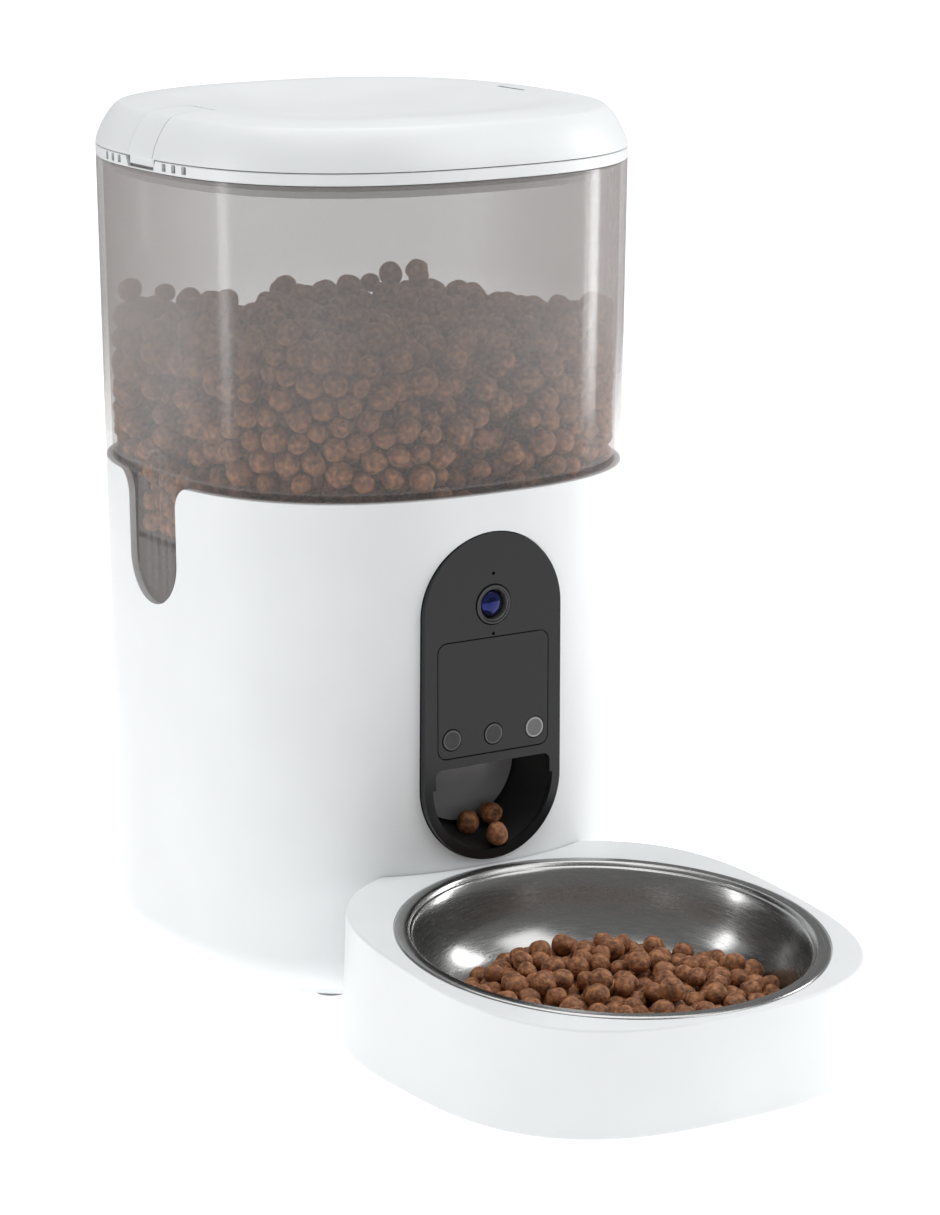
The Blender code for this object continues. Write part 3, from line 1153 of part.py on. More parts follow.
def build_tray(body, white, rubber):
    tray = frame("tray_slide", (0, -TRAY_REACH, 0), body)
    edge = 0.0012
    rings = tray_rings(0.0, TRAY_LOW_Z, edge)
    top = tray_rings(edge, 0.0, 0.0)[1]
    shell = make("tray_shell", white, tray, loft(rings + [top]))
    cut(shell, "tower_side", tower_clearance(TRAY_GAP), parent=body)
    inside = cut(shell, "inside", loft(tray_rings(TRAY_WALL, TRAY_LIP_Z + TRAY_WALL, TRAY_WALL)))
    cut(inside, "back_wall", tower_clearance(TRAY_GAP + TRAY_WALL), parent=body)
    under = cut(shell, "underside", loft(tray_rings(TRAY_LIP_WIDTH, -0.01, 0.010)))
    cut(under, "back_wall", tower_clearance(TRAY_GAP + TRAY_LIP_WIDTH), parent=body)
    lift = cut(shell, "lip_recess", loft(recess_rings()))
    cut(lift, "back_wall", tower_clearance(TRAY_GAP + TRAY_WALL), parent=body)
    bowl = bowl_frame(tray)
    seat = BOWL_RIM_RADIUS + 2 * GAP
    cut(shell, "bowl_seat", turned([(seat, -BOWL_SEAT), (seat, 0.02)]), parent=bowl)
    cut(shell, "bowl_hole", turned([(BOWL_RIM_RADIUS - BOWL_RIM_WIDTH + GAP, -0.02),
                                    (BOWL_RIM_RADIUS - BOWL_RIM_WIDTH + GAP, 0.02)]), parent=bowl)
    foot = None
    for k, (x, y) in enumerate(((-TRAY_FOOT_X, -TRAY_FOOT_Y), (TRAY_FOOT_X, -TRAY_FOOT_Y)), 1):
        at = frame(f"tray_foot_place_{k}", (x, y, 0.0), tray)
        if foot is None:
            profile = [(TRAY_FOOT_RADIUS - 0.0005, 0.0), (TRAY_FOOT_RADIUS, 0.0005),
                       (TRAY_FOOT_RADIUS, TRAY_LIP_Z - GAP)]
            foot = make("tray_foot_1", rubber, at, turned(profile, ROUND))
        else:
            copy_of(foot, f"tray_foot_{k}", at)
    return bowl


def recess_rings():
    """The shallow space under the tray's lip, where its feet stand."""
    foot = level(squircle(TRAY_HALF_WIDTH - TRAY_WALL, TRAY_HALF_LENGTH - TRAY_WALL, TRAY_POWER), -0.01)
    return [foot, [(x, y, TRAY_LIP_Z) for x, y, _ in foot]]


def bowl_frame(tray):
    """The bowl's rim centre, on the tray's sloping top."""
    y = -BOWL_OFFSET
    return frame("bowl_lift", (0, y, tray_top_z(y)), tray, TRAY_TILT)


def build_bowl(at, steel):
    rim = BOWL_RIM_RADIUS
    throat = rim - BOWL_RIM_WIDTH - BOWL_SHEET - GAP
    depth = BOWL_DEPTH
    floor = throat - BOWL_SLOPE
    path = [(0.0060, -depth), (floor, -depth), (floor + 0.0110, -depth + 0.0040),
            (floor + 0.0190, -depth + 0.0140), (throat - 0.0020, -0.0040), (throat, -0.0010),
            (throat + 0.0016, 0.0006), (rim - 0.0008, 0.0005), (rim, -0.0003)]
    under = offset_path(path, BOWL_SHEET)
    under[0] = (path[0][0], -depth - BOWL_SHEET)
    under[-1] = (rim - 0.0009, -0.0006)
    make("bowl", steel, at, turned(path + under[::-1]))


# ---------------------------------------------------------------- whole feeder

def main():
    clear_scene()
    white = finish("white_plastic", (0.80, 0.82, 0.83), 0.38)
    liner_white = finish("inner_white", (0.74, 0.75, 0.76), 0.45)
    smoke = finish("smoke_plastic", (0.42, 0.39, 0.37), 0.12, alpha=0.45)
    gloss = finish("gloss_black", (0.015, 0.015, 0.017), 0.10)
    black = finish("black_plastic", (0.02, 0.02, 0.02), 0.45)
    grey = finish("grey_plastic", (0.30, 0.31, 0.32), 0.5)
    button_grey = finish("button_grey", (0.20, 0.20, 0.21), 0.35)
    ring_grey = finish("lens_ring_grey", (0.12, 0.12, 0.11), 0.30)
    glass = finish("lens_glass", (0.01, 0.01, 0.03), 0.03)
    rubber = finish("grey_rubber", (0.25, 0.25, 0.26), 0.8)
    silicone = finish("rotor_silicone", (0.62, 0.63, 0.64), 0.6)
    steel = finish("steel", (0.62, 0.62, 0.60), 0.28, metallic=1.0)
    brass = finish("brass", (0.70, 0.52, 0.22), 0.35, metallic=1.0)
    green = finish("circuit_board", (0.02, 0.16, 0.07), 0.45)
    blue = finish("cell_wrap", (0.05, 0.10, 0.22), 0.40)

    body = frame("body_frame", (0, BODY_Y, 0))
    build_housing(body, white)
    build_base_plate(body, white)
    build_feet(body, rubber)
    build_screws(body, steel)
    build_batteries(body, liner_white, white, steel, blue)
    build_base_electronics(body, black, green, steel)
    build_panel(body, gloss, ring_grey, glass, green, black, button_grey)
    build_chute(body, black)
    build_flap(body, smoke, steel)
    shield_top = build_rotor_housing(body, liner_white, grey)
    spin = build_rotor(body, silicone, white, steel, shield_top)
    build_gears(body, spin, white, brass, steel)
    build_gearcase(body, grey, black)
    lift = build_hopper(body, smoke, white)
    build_lid(lift, white, liner_white, rubber, steel)
    build_bowl(build_tray(body, white, rubber), steel)


main()
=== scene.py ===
"""Looks of the automatic pet feeder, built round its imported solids.

Metres, +Z up, the front faces -Y. What shows is built again with fine surfaces in the places of
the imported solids, every piece gets a procedural finish, and the food in the hopper and the bowl
is dressing that isn't part of the feeder.
"""

import json
import math

import bmesh
import bpy
import numpy as np
from mathutils import Matrix, Vector, kdtree

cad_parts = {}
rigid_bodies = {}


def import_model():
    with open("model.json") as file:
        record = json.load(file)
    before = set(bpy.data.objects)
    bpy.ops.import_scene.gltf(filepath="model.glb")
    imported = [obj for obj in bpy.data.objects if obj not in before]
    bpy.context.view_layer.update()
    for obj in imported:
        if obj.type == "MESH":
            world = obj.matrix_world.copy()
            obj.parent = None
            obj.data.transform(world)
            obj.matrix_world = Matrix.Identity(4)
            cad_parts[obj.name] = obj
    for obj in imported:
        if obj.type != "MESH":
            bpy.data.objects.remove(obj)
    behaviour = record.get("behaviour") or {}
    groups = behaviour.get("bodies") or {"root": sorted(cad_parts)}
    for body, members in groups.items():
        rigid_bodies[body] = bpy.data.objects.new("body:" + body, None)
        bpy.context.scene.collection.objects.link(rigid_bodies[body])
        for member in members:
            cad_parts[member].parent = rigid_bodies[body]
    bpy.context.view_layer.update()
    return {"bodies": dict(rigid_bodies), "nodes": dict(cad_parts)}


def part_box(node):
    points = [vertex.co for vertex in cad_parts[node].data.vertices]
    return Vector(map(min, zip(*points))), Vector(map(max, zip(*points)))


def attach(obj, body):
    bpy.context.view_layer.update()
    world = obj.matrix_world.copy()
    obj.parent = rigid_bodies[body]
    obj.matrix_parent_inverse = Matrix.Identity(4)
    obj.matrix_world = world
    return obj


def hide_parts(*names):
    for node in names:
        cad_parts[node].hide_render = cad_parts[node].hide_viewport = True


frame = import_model()

# ---- places and sizes read from the frame ----
LID_LOW, LID_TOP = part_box("lid_shell")
HOUSING_LOW, HOUSING_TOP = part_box("housing_shell")
TANK_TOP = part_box("hopper_tank")[1]
RIM_LOW, RIM_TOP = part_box("hopper_rim")
PLINTH_LOW, PLINTH_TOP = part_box("base_plate")
PANEL_LOW, PANEL_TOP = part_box("front_panel")
PLATE_LOW, PLATE_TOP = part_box("control_plate")
TRAY_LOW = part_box("tray_shell")[0]
CHUTE_LOW, CHUTE_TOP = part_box("chute")
BODY_Y = (LID_LOW.y + LID_TOP.y) / 2
LID_HALF = (LID_TOP.y - LID_LOW.y) / 2
SEAM_Z = HOUSING_TOP.z
HOUSING_HALF = HOUSING_TOP.y - BODY_Y
DRAFT = (LID_HALF - HOUSING_HALF) / (LID_LOW.z - SEAM_Z)

# ---- shape ----
SECTION_POWER = 2.54        # superellipse exponent of the tower's section
PLINTH_POWER = 2.26
TRAY_POWER = 2.84
GAP = 0.0003
COUNT = 144                 # points round the tower
FINE = 64                   # points round a button or a lens
HOUSING_WALL = 0.0026
BOTTOM_RADIUS = 0.01625
BOTTOM_SWEEP = math.radians(59.5)
LEDGE_Z, LEDGE_WIDTH = 0.1407, 0.0040
PLINTH_SIDE_Z = 0.0052      # top of the plinth's visible side
TANK_WALL = 0.0024
TANK_STEP = 0.0006          # clearance between the housing and the hopper's lower part
TANK_SHOULDER_Z, FUNNEL_Z, FUNNEL_RADIUS, FUNNEL_FLANGE = 0.1840, 0.1520, 0.0480, 0.0022
TONGUE_HALF, TONGUE_LOW_Z, TONGUE_FILLET, TONGUE_DEPTH = 0.0176, 0.1463, 0.0100, 0.0160
TONGUE_CLEAR = 0.0005
POCKET_FLOOR_Z = 0.1710
RIB_HALF, RIB_TOP_Z, RIB_LOW_Z = 0.0085, 0.2045, 0.1500
LID_WALL = 0.0024
LID_EDGE_INSET, LID_EDGE_RISE, LID_EDGE_POWER = 0.00867, 0.01506, 1.464
LID_DISH = ((0.0140, 0.0161), (0.0200, 0.01672), (0.0260, 0.0166), (0.0360, 0.0155),
            (0.0560, 0.0138), (0.0870, 0.0131))
LATCH_HALF, LATCH_CLEAR, LATCH_INSET = 0.0092, 0.0003, 0.0240
LATCH_BARREL, LATCH_SLIT, LATCH_THICK = 0.0022, 0.0012, 0.0022
RECESS_HALF, RECESS_LOW_HALF, RECESS_DEPTH = 0.0115, 0.0098, 0.0038
NOTCH_WIDTH, NOTCH_HEIGHT = 0.0026, 0.0032
PANEL_HALF = 0.0300
PANEL_PLATE = 0.0024
MOUTH_RADIUS, MOUTH_CENTRE_Z, MOUTH_TOP_Z, MOUTH_SHOULDER = 0.0265, 0.0840, 0.0915, 0.0253
BUTTON_PITCH, BUTTON_Z, BUTTON_RADIUS = 0.0183, 0.1025, 0.0040
LENS_Z, LENS_RING_RADIUS, LENS_RADIUS = 0.1521, 0.0075, 0.0052
MIC_Z, STATUS_Z, PINHOLE_RADIUS = 0.1639, 0.1410, 0.0006
TRAY_TILT, TRAY_LIP = math.radians(4.3), 0.0120
TRAY_HALF_WIDTH, TRAY_HALF_LENGTH = 0.0860, 0.0883
TRAY_Y = TRAY_LOW.y + TRAY_HALF_LENGTH
TRAY_TOP_MID_Z, TRAY_DRAFT, TRAY_WALL, TRAY_GAP = 0.0458, 0.0016, 0.0024, 0.0004
BOWL_OFFSET, BOWL_RIM, BOWL_RIM_WIDTH, BOWL_DEPTH = 0.0060, 0.0786, 0.0042, 0.0340
FLAP_Y, FLAP_CENTRE_Z, FLAP_HALF, FLAP_CLEAR, FLAP_RISE = -0.0710, 0.0865, 0.0226, 0.0006, 0.0080
OUTLET_Y = -0.03825         # middle of the rotor housing's outlet

FLOOR_HALF = 1.1

# ---- dry food ----
GRAIN_RADIUS = 0.0047
FOOD_TOP_Z = 0.2500
HOPPER_GRAINS = 3300
BOWL_GRAIN = 0.0041
BOWL_GRAINS = 540
HEAP_CENTRE = (0.000, -0.010)
HEAP_SIZE = (0.064, 0.058, 0.026)

NODE_SLOTS = {
    "white_plastic": ("battery_door", "agitator", "output_gear", "idler_gear"),
    "inner_white": ("battery_case", "rotor_housing", "lid_liner", "desiccant_box"),
    "black_plastic": ("speaker", "power_jack"),
    "grey_plastic": ("metering_shield", "gearbox_case", "gearbox_cover"),
    "grey_rubber": ("tray_foot_1", "tray_foot_2", "lid_seal", "desiccant_cover"),
    "rotor_silicone": ("rotor",),
    "steel": ("base_screw_1", "base_screw_2", "base_screw_3", "base_screw_4", "battery_contacts_front",
              "battery_contacts_rear", "flap_pin", "latch_pin_left", "latch_pin_right", "rotor_shaft",
              "idler_pin"),
    "brass": ("motor_pinion",),
    "circuit_board": ("main_board", "button_board", "camera_module"),
    "motor_metal": ("gear_motor",),
    "cell_wrap": ("battery_cell_1", "battery_cell_2", "battery_cell_3"),
}


# ---------------------------------------------------------------- shapes

def half_at(z):
    """Half the tower's width at a height."""
    return LID_HALF - (LID_LOW.z - z) * DRAFT


def squircle(half_x, half_y, power, count=COUNT):
    outline = []
    for step in range(count):
        angle = 2 * math.pi * step / count
        c, s = math.cos(angle), math.sin(angle)
        reach = (abs(c) ** power + abs(s) ** power) ** (-1 / power)
        outline.append((half_x * reach * c, half_y * reach * s))
    return outline


def circle(radius, centre=(0.0, 0.0), count=FINE):
    return [(centre[0] + x, centre[1] + y) for x, y in squircle(radius, radius, 2, count)]


def arc(centre, radius, start, end, steps):
    """Points of an arc in degrees, both ends included."""
    return [(centre[0] + radius * math.cos(math.radians(start + (end - start) * k / steps)),
             centre[1] + radius * math.sin(math.radians(start + (end - start) * k / steps)))
            for k in range(steps + 1)]


def rounded(low, high, radius, steps=8):
    corners = ((high[0] - radius, low[1] + radius, -90), (high[0] - radius, high[1] - radius, 0),
               (low[0] + radius, high[1] - radius, 90), (low[0] + radius, low[1] + radius, 180))
    outline = []
    for x, y, start in corners:
        outline += arc((x, y), radius, start, start + 90, steps)
    return outline


def capsule(radius, low, high, steps=40):
    return (arc((0, high - radius), radius, 0, 180, steps)
            + arc((0, low + radius), radius, 180, 360, steps))


def smooth_path(points, steps=6):
    """A smooth curve through the points (Catmull-Rom), with steps between each pair."""
    ends = [points[0], *points, points[-1]]
    curve = []
    for k in range(len(points) - 1):
        a, b, c, d = (np.array(p, float) for p in ends[k:k + 4])
        for step in range(steps):
            t = step / steps
            curve.append(tuple(0.5 * (2 * b + (c - a) * t + (2 * a - 5 * b + 4 * c - d) * t * t
                                      + (3 * b - a - 3 * c + d) * t ** 3)))
    return curve + [tuple(points[-1])]


def level(outline, z):
    return [(x, y, z) for x, y in outline]


def tower_ring(half, z, power=SECTION_POWER, count=COUNT):
    return level(squircle(half, half, power, count), z)


def loft(rings, looped=False):
    """A closed shape through rings of equal length, capped at its ends or joined into a loop."""
    count = len(rings[0])
    points = [tuple(point) for ring in rings for point in ring]
    faces = []
    for row in range(len(rings) if looped else len(rings) - 1):
        above = (row + 1) % len(rings)
        for k in range(count):
            n = (k + 1) % count
            faces.append((row * count + k, row * count + n, above * count + n, above * count + k))
    if not looped:
        faces.append(tuple(reversed(range(count))))
        faces.append(tuple((len(rings) - 1) * count + k for k in range(count)))
    return outward(points, faces)


def outward(points, faces):
    """The shape with its faces turned to point out, found from the sign of its volume."""
    volume = 0.0
    for face in faces:
        a = Vector(points[face[0]])
        for k in range(1, len(face) - 1):
            volume += a.dot(Vector(points[face[k]]).cross(Vector(points[face[k + 1]])))
    return points, (faces if volume > 0 else [face[::-1] for face in faces])


def prism(outline, low, high, along="z"):
    """An outline pushed along an axis. Along y the outline is (x, z), and along x it is (y, z)."""
    turn = {"z": lambda u, v, w: (u, v, w), "y": lambda u, v, w: (u, w, v),
            "x": lambda u, v, w: (w, u, v)}[along]
    return loft([[turn(u, v, w) for u, v in outline] for w in (low, high)])


def rod(radius, low, high, centre=(0.0, 0.0), along="z", count=FINE):
    return prism(circle(radius, centre, count), low, high, along)


def block(low, high):
    return prism([(low[0], low[1]), (high[0], low[1]), (high[0], high[1]), (low[0], high[1])],
                 low[2], high[2])


def turned(profile, count=COUNT, looped=False):
    return loft([level(circle(radius, count=count), z) for radius, z in profile], looped)


def facing(profile, looped=False, count=FINE):
    """A shape turned round the y axis from (radius, y) points, centred on the origin."""
    return loft([[(u, w, v) for u, v in circle(radius, count=count)] for radius, w in profile], looped)


def offset_path(path, distance):
    """The path moved to the right of its direction."""
    moved = []
    for k, (x, y) in enumerate(path):
        before, after = path[max(k - 1, 0)], path[min(k + 1, len(path) - 1)]
        dx, dy = after[0] - before[0], after[1] - before[1]
        length = math.hypot(dx, dy)
        moved.append((x + distance * dy / length, y - distance * dx / length))
    return moved


# ---------------------------------------------------------------- pieces

def mesh_of(name, shapes):
    bm = bmesh.new()
    for points, faces in shapes:
        corners = [bm.verts.new(point) for point in points]
        for face in faces:
            bm.faces.new([corners[k] for k in face])
    mesh = bpy.data.meshes.new(name)
    bm.to_mesh(mesh)
    bm.free()
    return mesh


def place(name, mesh, at=(0.0, BODY_Y, 0.0), tilt=0.0):
    obj = bpy.data.objects.new(name, mesh)
    obj.location = at
    obj.rotation_euler = (tilt, 0.0, 0.0)
    bpy.context.scene.collection.objects.link(obj)
    return obj


def start(name, *shapes, at=(0.0, BODY_Y, 0.0), tilt=0.0):
    return place(name, mesh_of(name, shapes), at, tilt)


def change(obj, operation, *shapes, at=(0.0, BODY_Y, 0.0), tilt=0.0):
    """Adds the shapes to the piece or cuts them from it."""
    apply_tool(obj, start(f"{obj.name}_tool", *shapes, at=at, tilt=tilt), operation)


def apply_tool(obj, tool, operation):
    modifier = obj.modifiers.new("change", "BOOLEAN")
    modifier.operation = operation
    modifier.solver = "EXACT"
    modifier.object = tool
    settle(obj)
    bpy.data.objects.remove(tool, do_unlink=True)


def cut(obj, *shapes, **where):
    change(obj, "DIFFERENCE", *shapes, **where)


def fuse(obj, *shapes, **where):
    change(obj, "UNION", *shapes, **where)


def soften(obj, width, angle=40, segments=2):
    """Rounds the piece's sharp edges a little, so that they catch the light."""
    modifier = obj.modifiers.new("soften", "BEVEL")
    modifier.width = width
    modifier.segments = segments
    modifier.limit_method = "ANGLE"
    modifier.angle_limit = math.radians(angle)
    modifier.use_clamp_overlap = True
    settle(obj)


def settle(obj):
    """Replaces the piece's mesh by what its modifiers make of it."""
    graph = bpy.context.evaluated_depsgraph_get()
    mesh = bpy.data.meshes.new_from_object(obj.evaluated_get(graph))
    obj.modifiers.clear()
    obj.data = mesh


def done(obj, body, slot, material, *replaced, sharp=35):
    """Finishes a piece: smooth shading, its material, its body and the nodes it stands for."""
    obj.data.shade_smooth()
    obj.data.set_sharp_from_angle(angle=math.radians(sharp))
    flat = obj.modifiers.new("flat", "WEIGHTED_NORMAL")
    flat.keep_sharp = True
    flat.weight = 90
    settle(obj)
    obj.data.materials.clear()
    obj.data.materials.append(material)
    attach(obj, body)
    if replaced:
        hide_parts(*replaced)
    return obj


# ---------------------------------------------------------------- materials

class Nodes:
    """A short way to write a material's node tree."""

    def __init__(self, name):
        self.material = bpy.data.materials.new(name)
        self.material.use_nodes = True
        self.tree = self.material.node_tree
        self.shader = self.tree.nodes["Principled BSDF"]
        self.place = self.add("ShaderNodeTexCoord").outputs["Object"]

    def add(self, kind, **values):
        node = self.tree.nodes.new(kind)
        for key, value in values.items():
            setattr(node, key, value)
        return node

    def link(self, source, target):
        self.tree.links.new(source, target)

    def set(self, **values):
        for key, value in values.items():
            self.shader.inputs[key.replace("_", " ")].default_value = value

    def noise(self, scale, detail=3.0, vector=None, rough=0.55):
        node = self.add("ShaderNodeTexNoise")
        for key, value in (("Scale", scale), ("Detail", detail), ("Roughness", rough)):
            node.inputs[key].default_value = value
        self.link(vector or self.place, node.inputs["Vector"])
        return node.outputs["Fac"]

    def axes(self):
        """The object's own x, y and z."""
        split = self.add("ShaderNodeSeparateXYZ")
        self.link(self.place, split.inputs[0])
        return split.outputs

    def reach(self, a, b):
        """The distance from the axis across a and b."""
        return self.math("SQRT", self.math("ADD", *(self.math("MULTIPLY", way, way) for way in (a, b))))

    def colour(self, source, *stops):
        """The surface colour, from (position, colour) stops along a source."""
        node = self.add("ShaderNodeValToRGB")
        while len(node.color_ramp.elements) < len(stops):
            node.color_ramp.elements.new(0.5)
        for element, (position, colour) in zip(node.color_ramp.elements, stops):
            element.position = position
            element.color = (*colour, 1.0)
        self.link(source, node.inputs["Fac"])
        self.link(node.outputs["Color"], self.shader.inputs["Base Color"])

    def range(self, source, low, high, start=0.35, end=0.65):
        node = self.add("ShaderNodeMapRange")
        for key, value in zip(("From Min", "From Max", "To Min", "To Max"), (start, end, low, high)):
            node.inputs[key].default_value = value
        self.link(source, node.inputs["Value"])
        return node.outputs["Result"]

    def gloss(self, source, low, high, start=0.35, end=0.65):
        self.link(self.range(source, low, high, start, end), self.shader.inputs["Roughness"])

    def towards_edge(self, blend, low, high, end):
        """A value that grows from faces seen straight on to those seen edge on."""
        rim = self.add("ShaderNodeLayerWeight")
        rim.inputs["Blend"].default_value = blend
        return self.range(rim.outputs["Facing"], low, high, 0.1, end)

    def math(self, operation, a, b=None):
        node = self.add("ShaderNodeMath", operation=operation)
        for k, value in enumerate((a, b)):
            if isinstance(value, (int, float)):
                node.inputs[k].default_value = value
            elif value is not None:
                self.link(value, node.inputs[k])
        return node.outputs["Value"]

    def bump(self, height, strength, distance):
        node = self.add("ShaderNodeBump")
        node.inputs["Strength"].default_value = strength
        node.inputs["Distance"].default_value = distance
        self.link(height, node.inputs["Height"])
        self.link(node.outputs["Normal"], self.shader.inputs["Normal"])


def shade(colour, amount):
    return tuple(min(1.0, max(0.0, channel * amount)) for channel in colour)


def moulded(name, colour, roughness, grain=2600, relief=0.00004, drift=0.02, strength=0.35, **values):
    """Moulded plastic or rubber: a fine grain, and a slight drift in colour and gloss."""
    n = Nodes(name)
    n.colour(n.noise(18, 2), (0.35, shade(colour, 1 - drift)), (0.65, shade(colour, 1 + drift)))
    fine = n.noise(grain, 2)
    n.gloss(fine, roughness * 0.88, roughness * 1.12)
    n.bump(fine, strength, relief)
    n.set(**values)
    return n.material


def brushed(name, colour, roughness, along="ring"):
    """Metal with fine brushing, in rings round its z axis or along it."""
    n = Nodes(name)
    x, y, z = n.axes()
    ring = along == "ring"
    join = n.add("ShaderNodeCombineXYZ")
    n.link(n.reach(x, y), join.inputs[0])
    n.link(n.math("MULTIPLY", n.math("ARCTAN2", y, x), 0.004 if ring else 0.05), join.inputs[1])
    n.link(n.math("MULTIPLY", z, 1.0 if ring else 0.05), join.inputs[2])
    lines = n.noise(2200, 4, join.outputs[0], 0.7)
    n.colour(lines, (0.30, shade(colour, 0.86)), (0.70, shade(colour, 1.10)))
    n.gloss(lines, roughness * 0.75, roughness * 1.25, 0.3, 0.7)
    n.bump(lines, 0.12, 0.00001)
    n.set(Metallic=1.0)
    return n.material


def button_face(name, colour, ring_colour):
    """A satin button with a thin printed ring just inside its edge."""
    n = Nodes(name)
    x, _, z = n.axes()
    n.colour(n.math("MULTIPLY", n.reach(x, z), 200.0), (0.64, colour), (0.67, ring_colour),
             (0.73, ring_colour), (0.76, colour))
    fine = n.noise(2400, 2)
    n.gloss(fine, 0.30, 0.40)
    n.bump(fine, 0.2, 0.00002)
    return n.material


def board_finish(name):
    """Green solder mask with fine lines of copper under it."""
    n = Nodes(name)
    tracks = n.add("ShaderNodeTexVoronoi", feature="DISTANCE_TO_EDGE")
    tracks.inputs["Scale"].default_value = 260
    n.link(n.place, tracks.inputs["Vector"])
    n.colour(tracks.outputs["Distance"], (0.02, (0.10, 0.30, 0.12)), (0.06, (0.015, 0.11, 0.045)))
    n.gloss(n.noise(700), 0.35, 0.5)
    return n.material


def kibble_finish(name):
    """Baked dry food: brown with a mottled, slightly rough crust."""
    n = Nodes(name)
    n.colour(n.noise(420, 4), (0.30, (0.08, 0.028, 0.010)), (0.50, (0.26, 0.100, 0.038)),
             (0.70, (0.50, 0.22, 0.09)))
    n.gloss(n.noise(900, 2), 0.50, 0.75)
    n.bump(n.noise(900, 4), 0.8, 0.0009)
    return n.material


def floor_finish(name):
    """A white studio floor, lit a little from itself so that it meets the white background."""
    n = Nodes(name)
    n.colour(n.noise(3, 2), (0.3, (0.93, 0.93, 0.93)), (0.7, (0.95, 0.95, 0.95)))
    n.set(Roughness=0.6, Emission_Color=(1.0, 1.0, 1.0, 1.0), Emission_Strength=0.66)
    return n.material


def smoke_tank(name):
    """Smoky clear plastic, densest where it is seen edge on, and clearer low down."""
    n = Nodes(name)
    n.colour(n.noise(9, 2), (0.3, (0.40, 0.37, 0.36)), (0.7, (0.44, 0.41, 0.40)))
    fine = n.noise(1200, 2)
    n.gloss(fine, 0.10, 0.16)
    haze = n.range(n.axes()[2], 0.45, 1.1, 0.200, 0.255)
    n.link(n.math("MULTIPLY", n.towards_edge(0.35, 0.26, 0.70, 0.9), haze), n.shader.inputs["Alpha"])
    n.bump(fine, 0.05, 0.00002)
    return n.material


def smoke_flap(name):
    n = Nodes(name)
    n.colour(n.noise(40, 2), (0.3, (0.34, 0.34, 0.35)), (0.7, (0.40, 0.40, 0.41)))
    fine = n.noise(900, 2)
    n.gloss(fine, 0.12, 0.20)
    n.link(n.towards_edge(0.4, 0.55, 0.90, 0.8), n.shader.inputs["Alpha"])
    n.bump(fine, 0.05, 0.00002)
    return n.material


def lens_glass_painted_reflection(name):
    """Nearly black glass with a blue coating that shows in its gloss; its colour also carries a painted blue
    reflection, a faint ring round the middle.
    """
    n = Nodes(name)
    x, _, z = n.axes()
    # painted reflection: the ramp paints a faint blue ring into the glass's own colour, standing in for the
    # coating's blue reflections
    n.colour(n.math("MULTIPLY", n.reach(x, z), 190.0), (0.0, (0.002, 0.002, 0.004)),
             (0.42, (0.004, 0.004, 0.012)), (0.60, (0.010, 0.016, 0.055)), (0.80, (0.012, 0.010, 0.030)),
             (0.98, (0.004, 0.004, 0.006)))
    n.gloss(n.noise(500, 2), 0.03, 0.06)
    n.set(Specular_IOR_Level=1.0, Specular_Tint=(0.12, 0.16, 1.0, 1.0))
    n.set(Coat_Weight=0.12, Coat_Roughness=0.02)
    return n.material


# ---------------------------------------------------------------- base

def bottom_edge(steps=14):
    """The housing's rounded lower edge as (inset, z), from the lip up."""
    top = HOUSING_LOW.z + BOTTOM_RADIUS * math.sin(BOTTOM_SWEEP)
    angles = [BOTTOM_SWEEP * (1 - k / steps) for k in range(steps + 1)]
    return [(BOTTOM_RADIUS * (1 - math.cos(a)), top - BOTTOM_RADIUS * math.sin(a)) for a in angles]


def window_outline(grow):
    """A side window's outline as (y, z)."""
    half = TONGUE_HALF + grow
    top = SEAM_Z + GAP
    fillet = TONGUE_FILLET - grow
    right = arc((0, TONGUE_LOW_Z + TONGUE_HALF), half, -90, 0, 24)
    right += arc((half + fillet, top - fillet), fillet, 180, 90, 14)
    right.append((half + fillet, top + 0.002))
    return right + [(-y, z) for y, z in reversed(right[1:])]


def build_housing(white):
    edge = 0.0005
    outer = [(inset, z) for inset, z in bottom_edge()]
    outer += [(0.0, SEAM_Z - edge), (edge * 0.3, SEAM_Z - edge * 0.3), (edge, SEAM_Z)]
    inner = [(HOUSING_WALL - edge, SEAM_Z), (HOUSING_WALL, SEAM_Z - edge), (HOUSING_WALL, LEDGE_Z),
             (HOUSING_WALL + LEDGE_WIDTH, LEDGE_Z), (HOUSING_WALL + LEDGE_WIDTH, LEDGE_Z - 0.002),
             (HOUSING_WALL, LEDGE_Z - 0.002 - LEDGE_WIDTH)]
    inner += [(inset + HOUSING_WALL, z) for inset, z in reversed(bottom_edge())]
    shell = start("housing", loft([tower_ring(half_at(z) - inset, z) for inset, z in outer + inner], True))
    front = prism(capsule(PANEL_HALF + GAP, PANEL_LOW.z - GAP, PANEL_TOP.z + GAP), -0.11, -0.06, "y")
    windows = [prism(window_outline(TONGUE_CLEAR), *sorted((side * 0.06, side * 0.11)), "x")
               for side in (-1, 1)]
    jack_low, jack_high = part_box("power_jack")
    cut(shell, front, *windows, rod(0.0045, 0.07, 0.11, (0, (jack_low.z + jack_high.z) / 2), "y"))
    soften(shell, 0.0003)
    done(shell, "root", "white_plastic", white, "housing_shell")


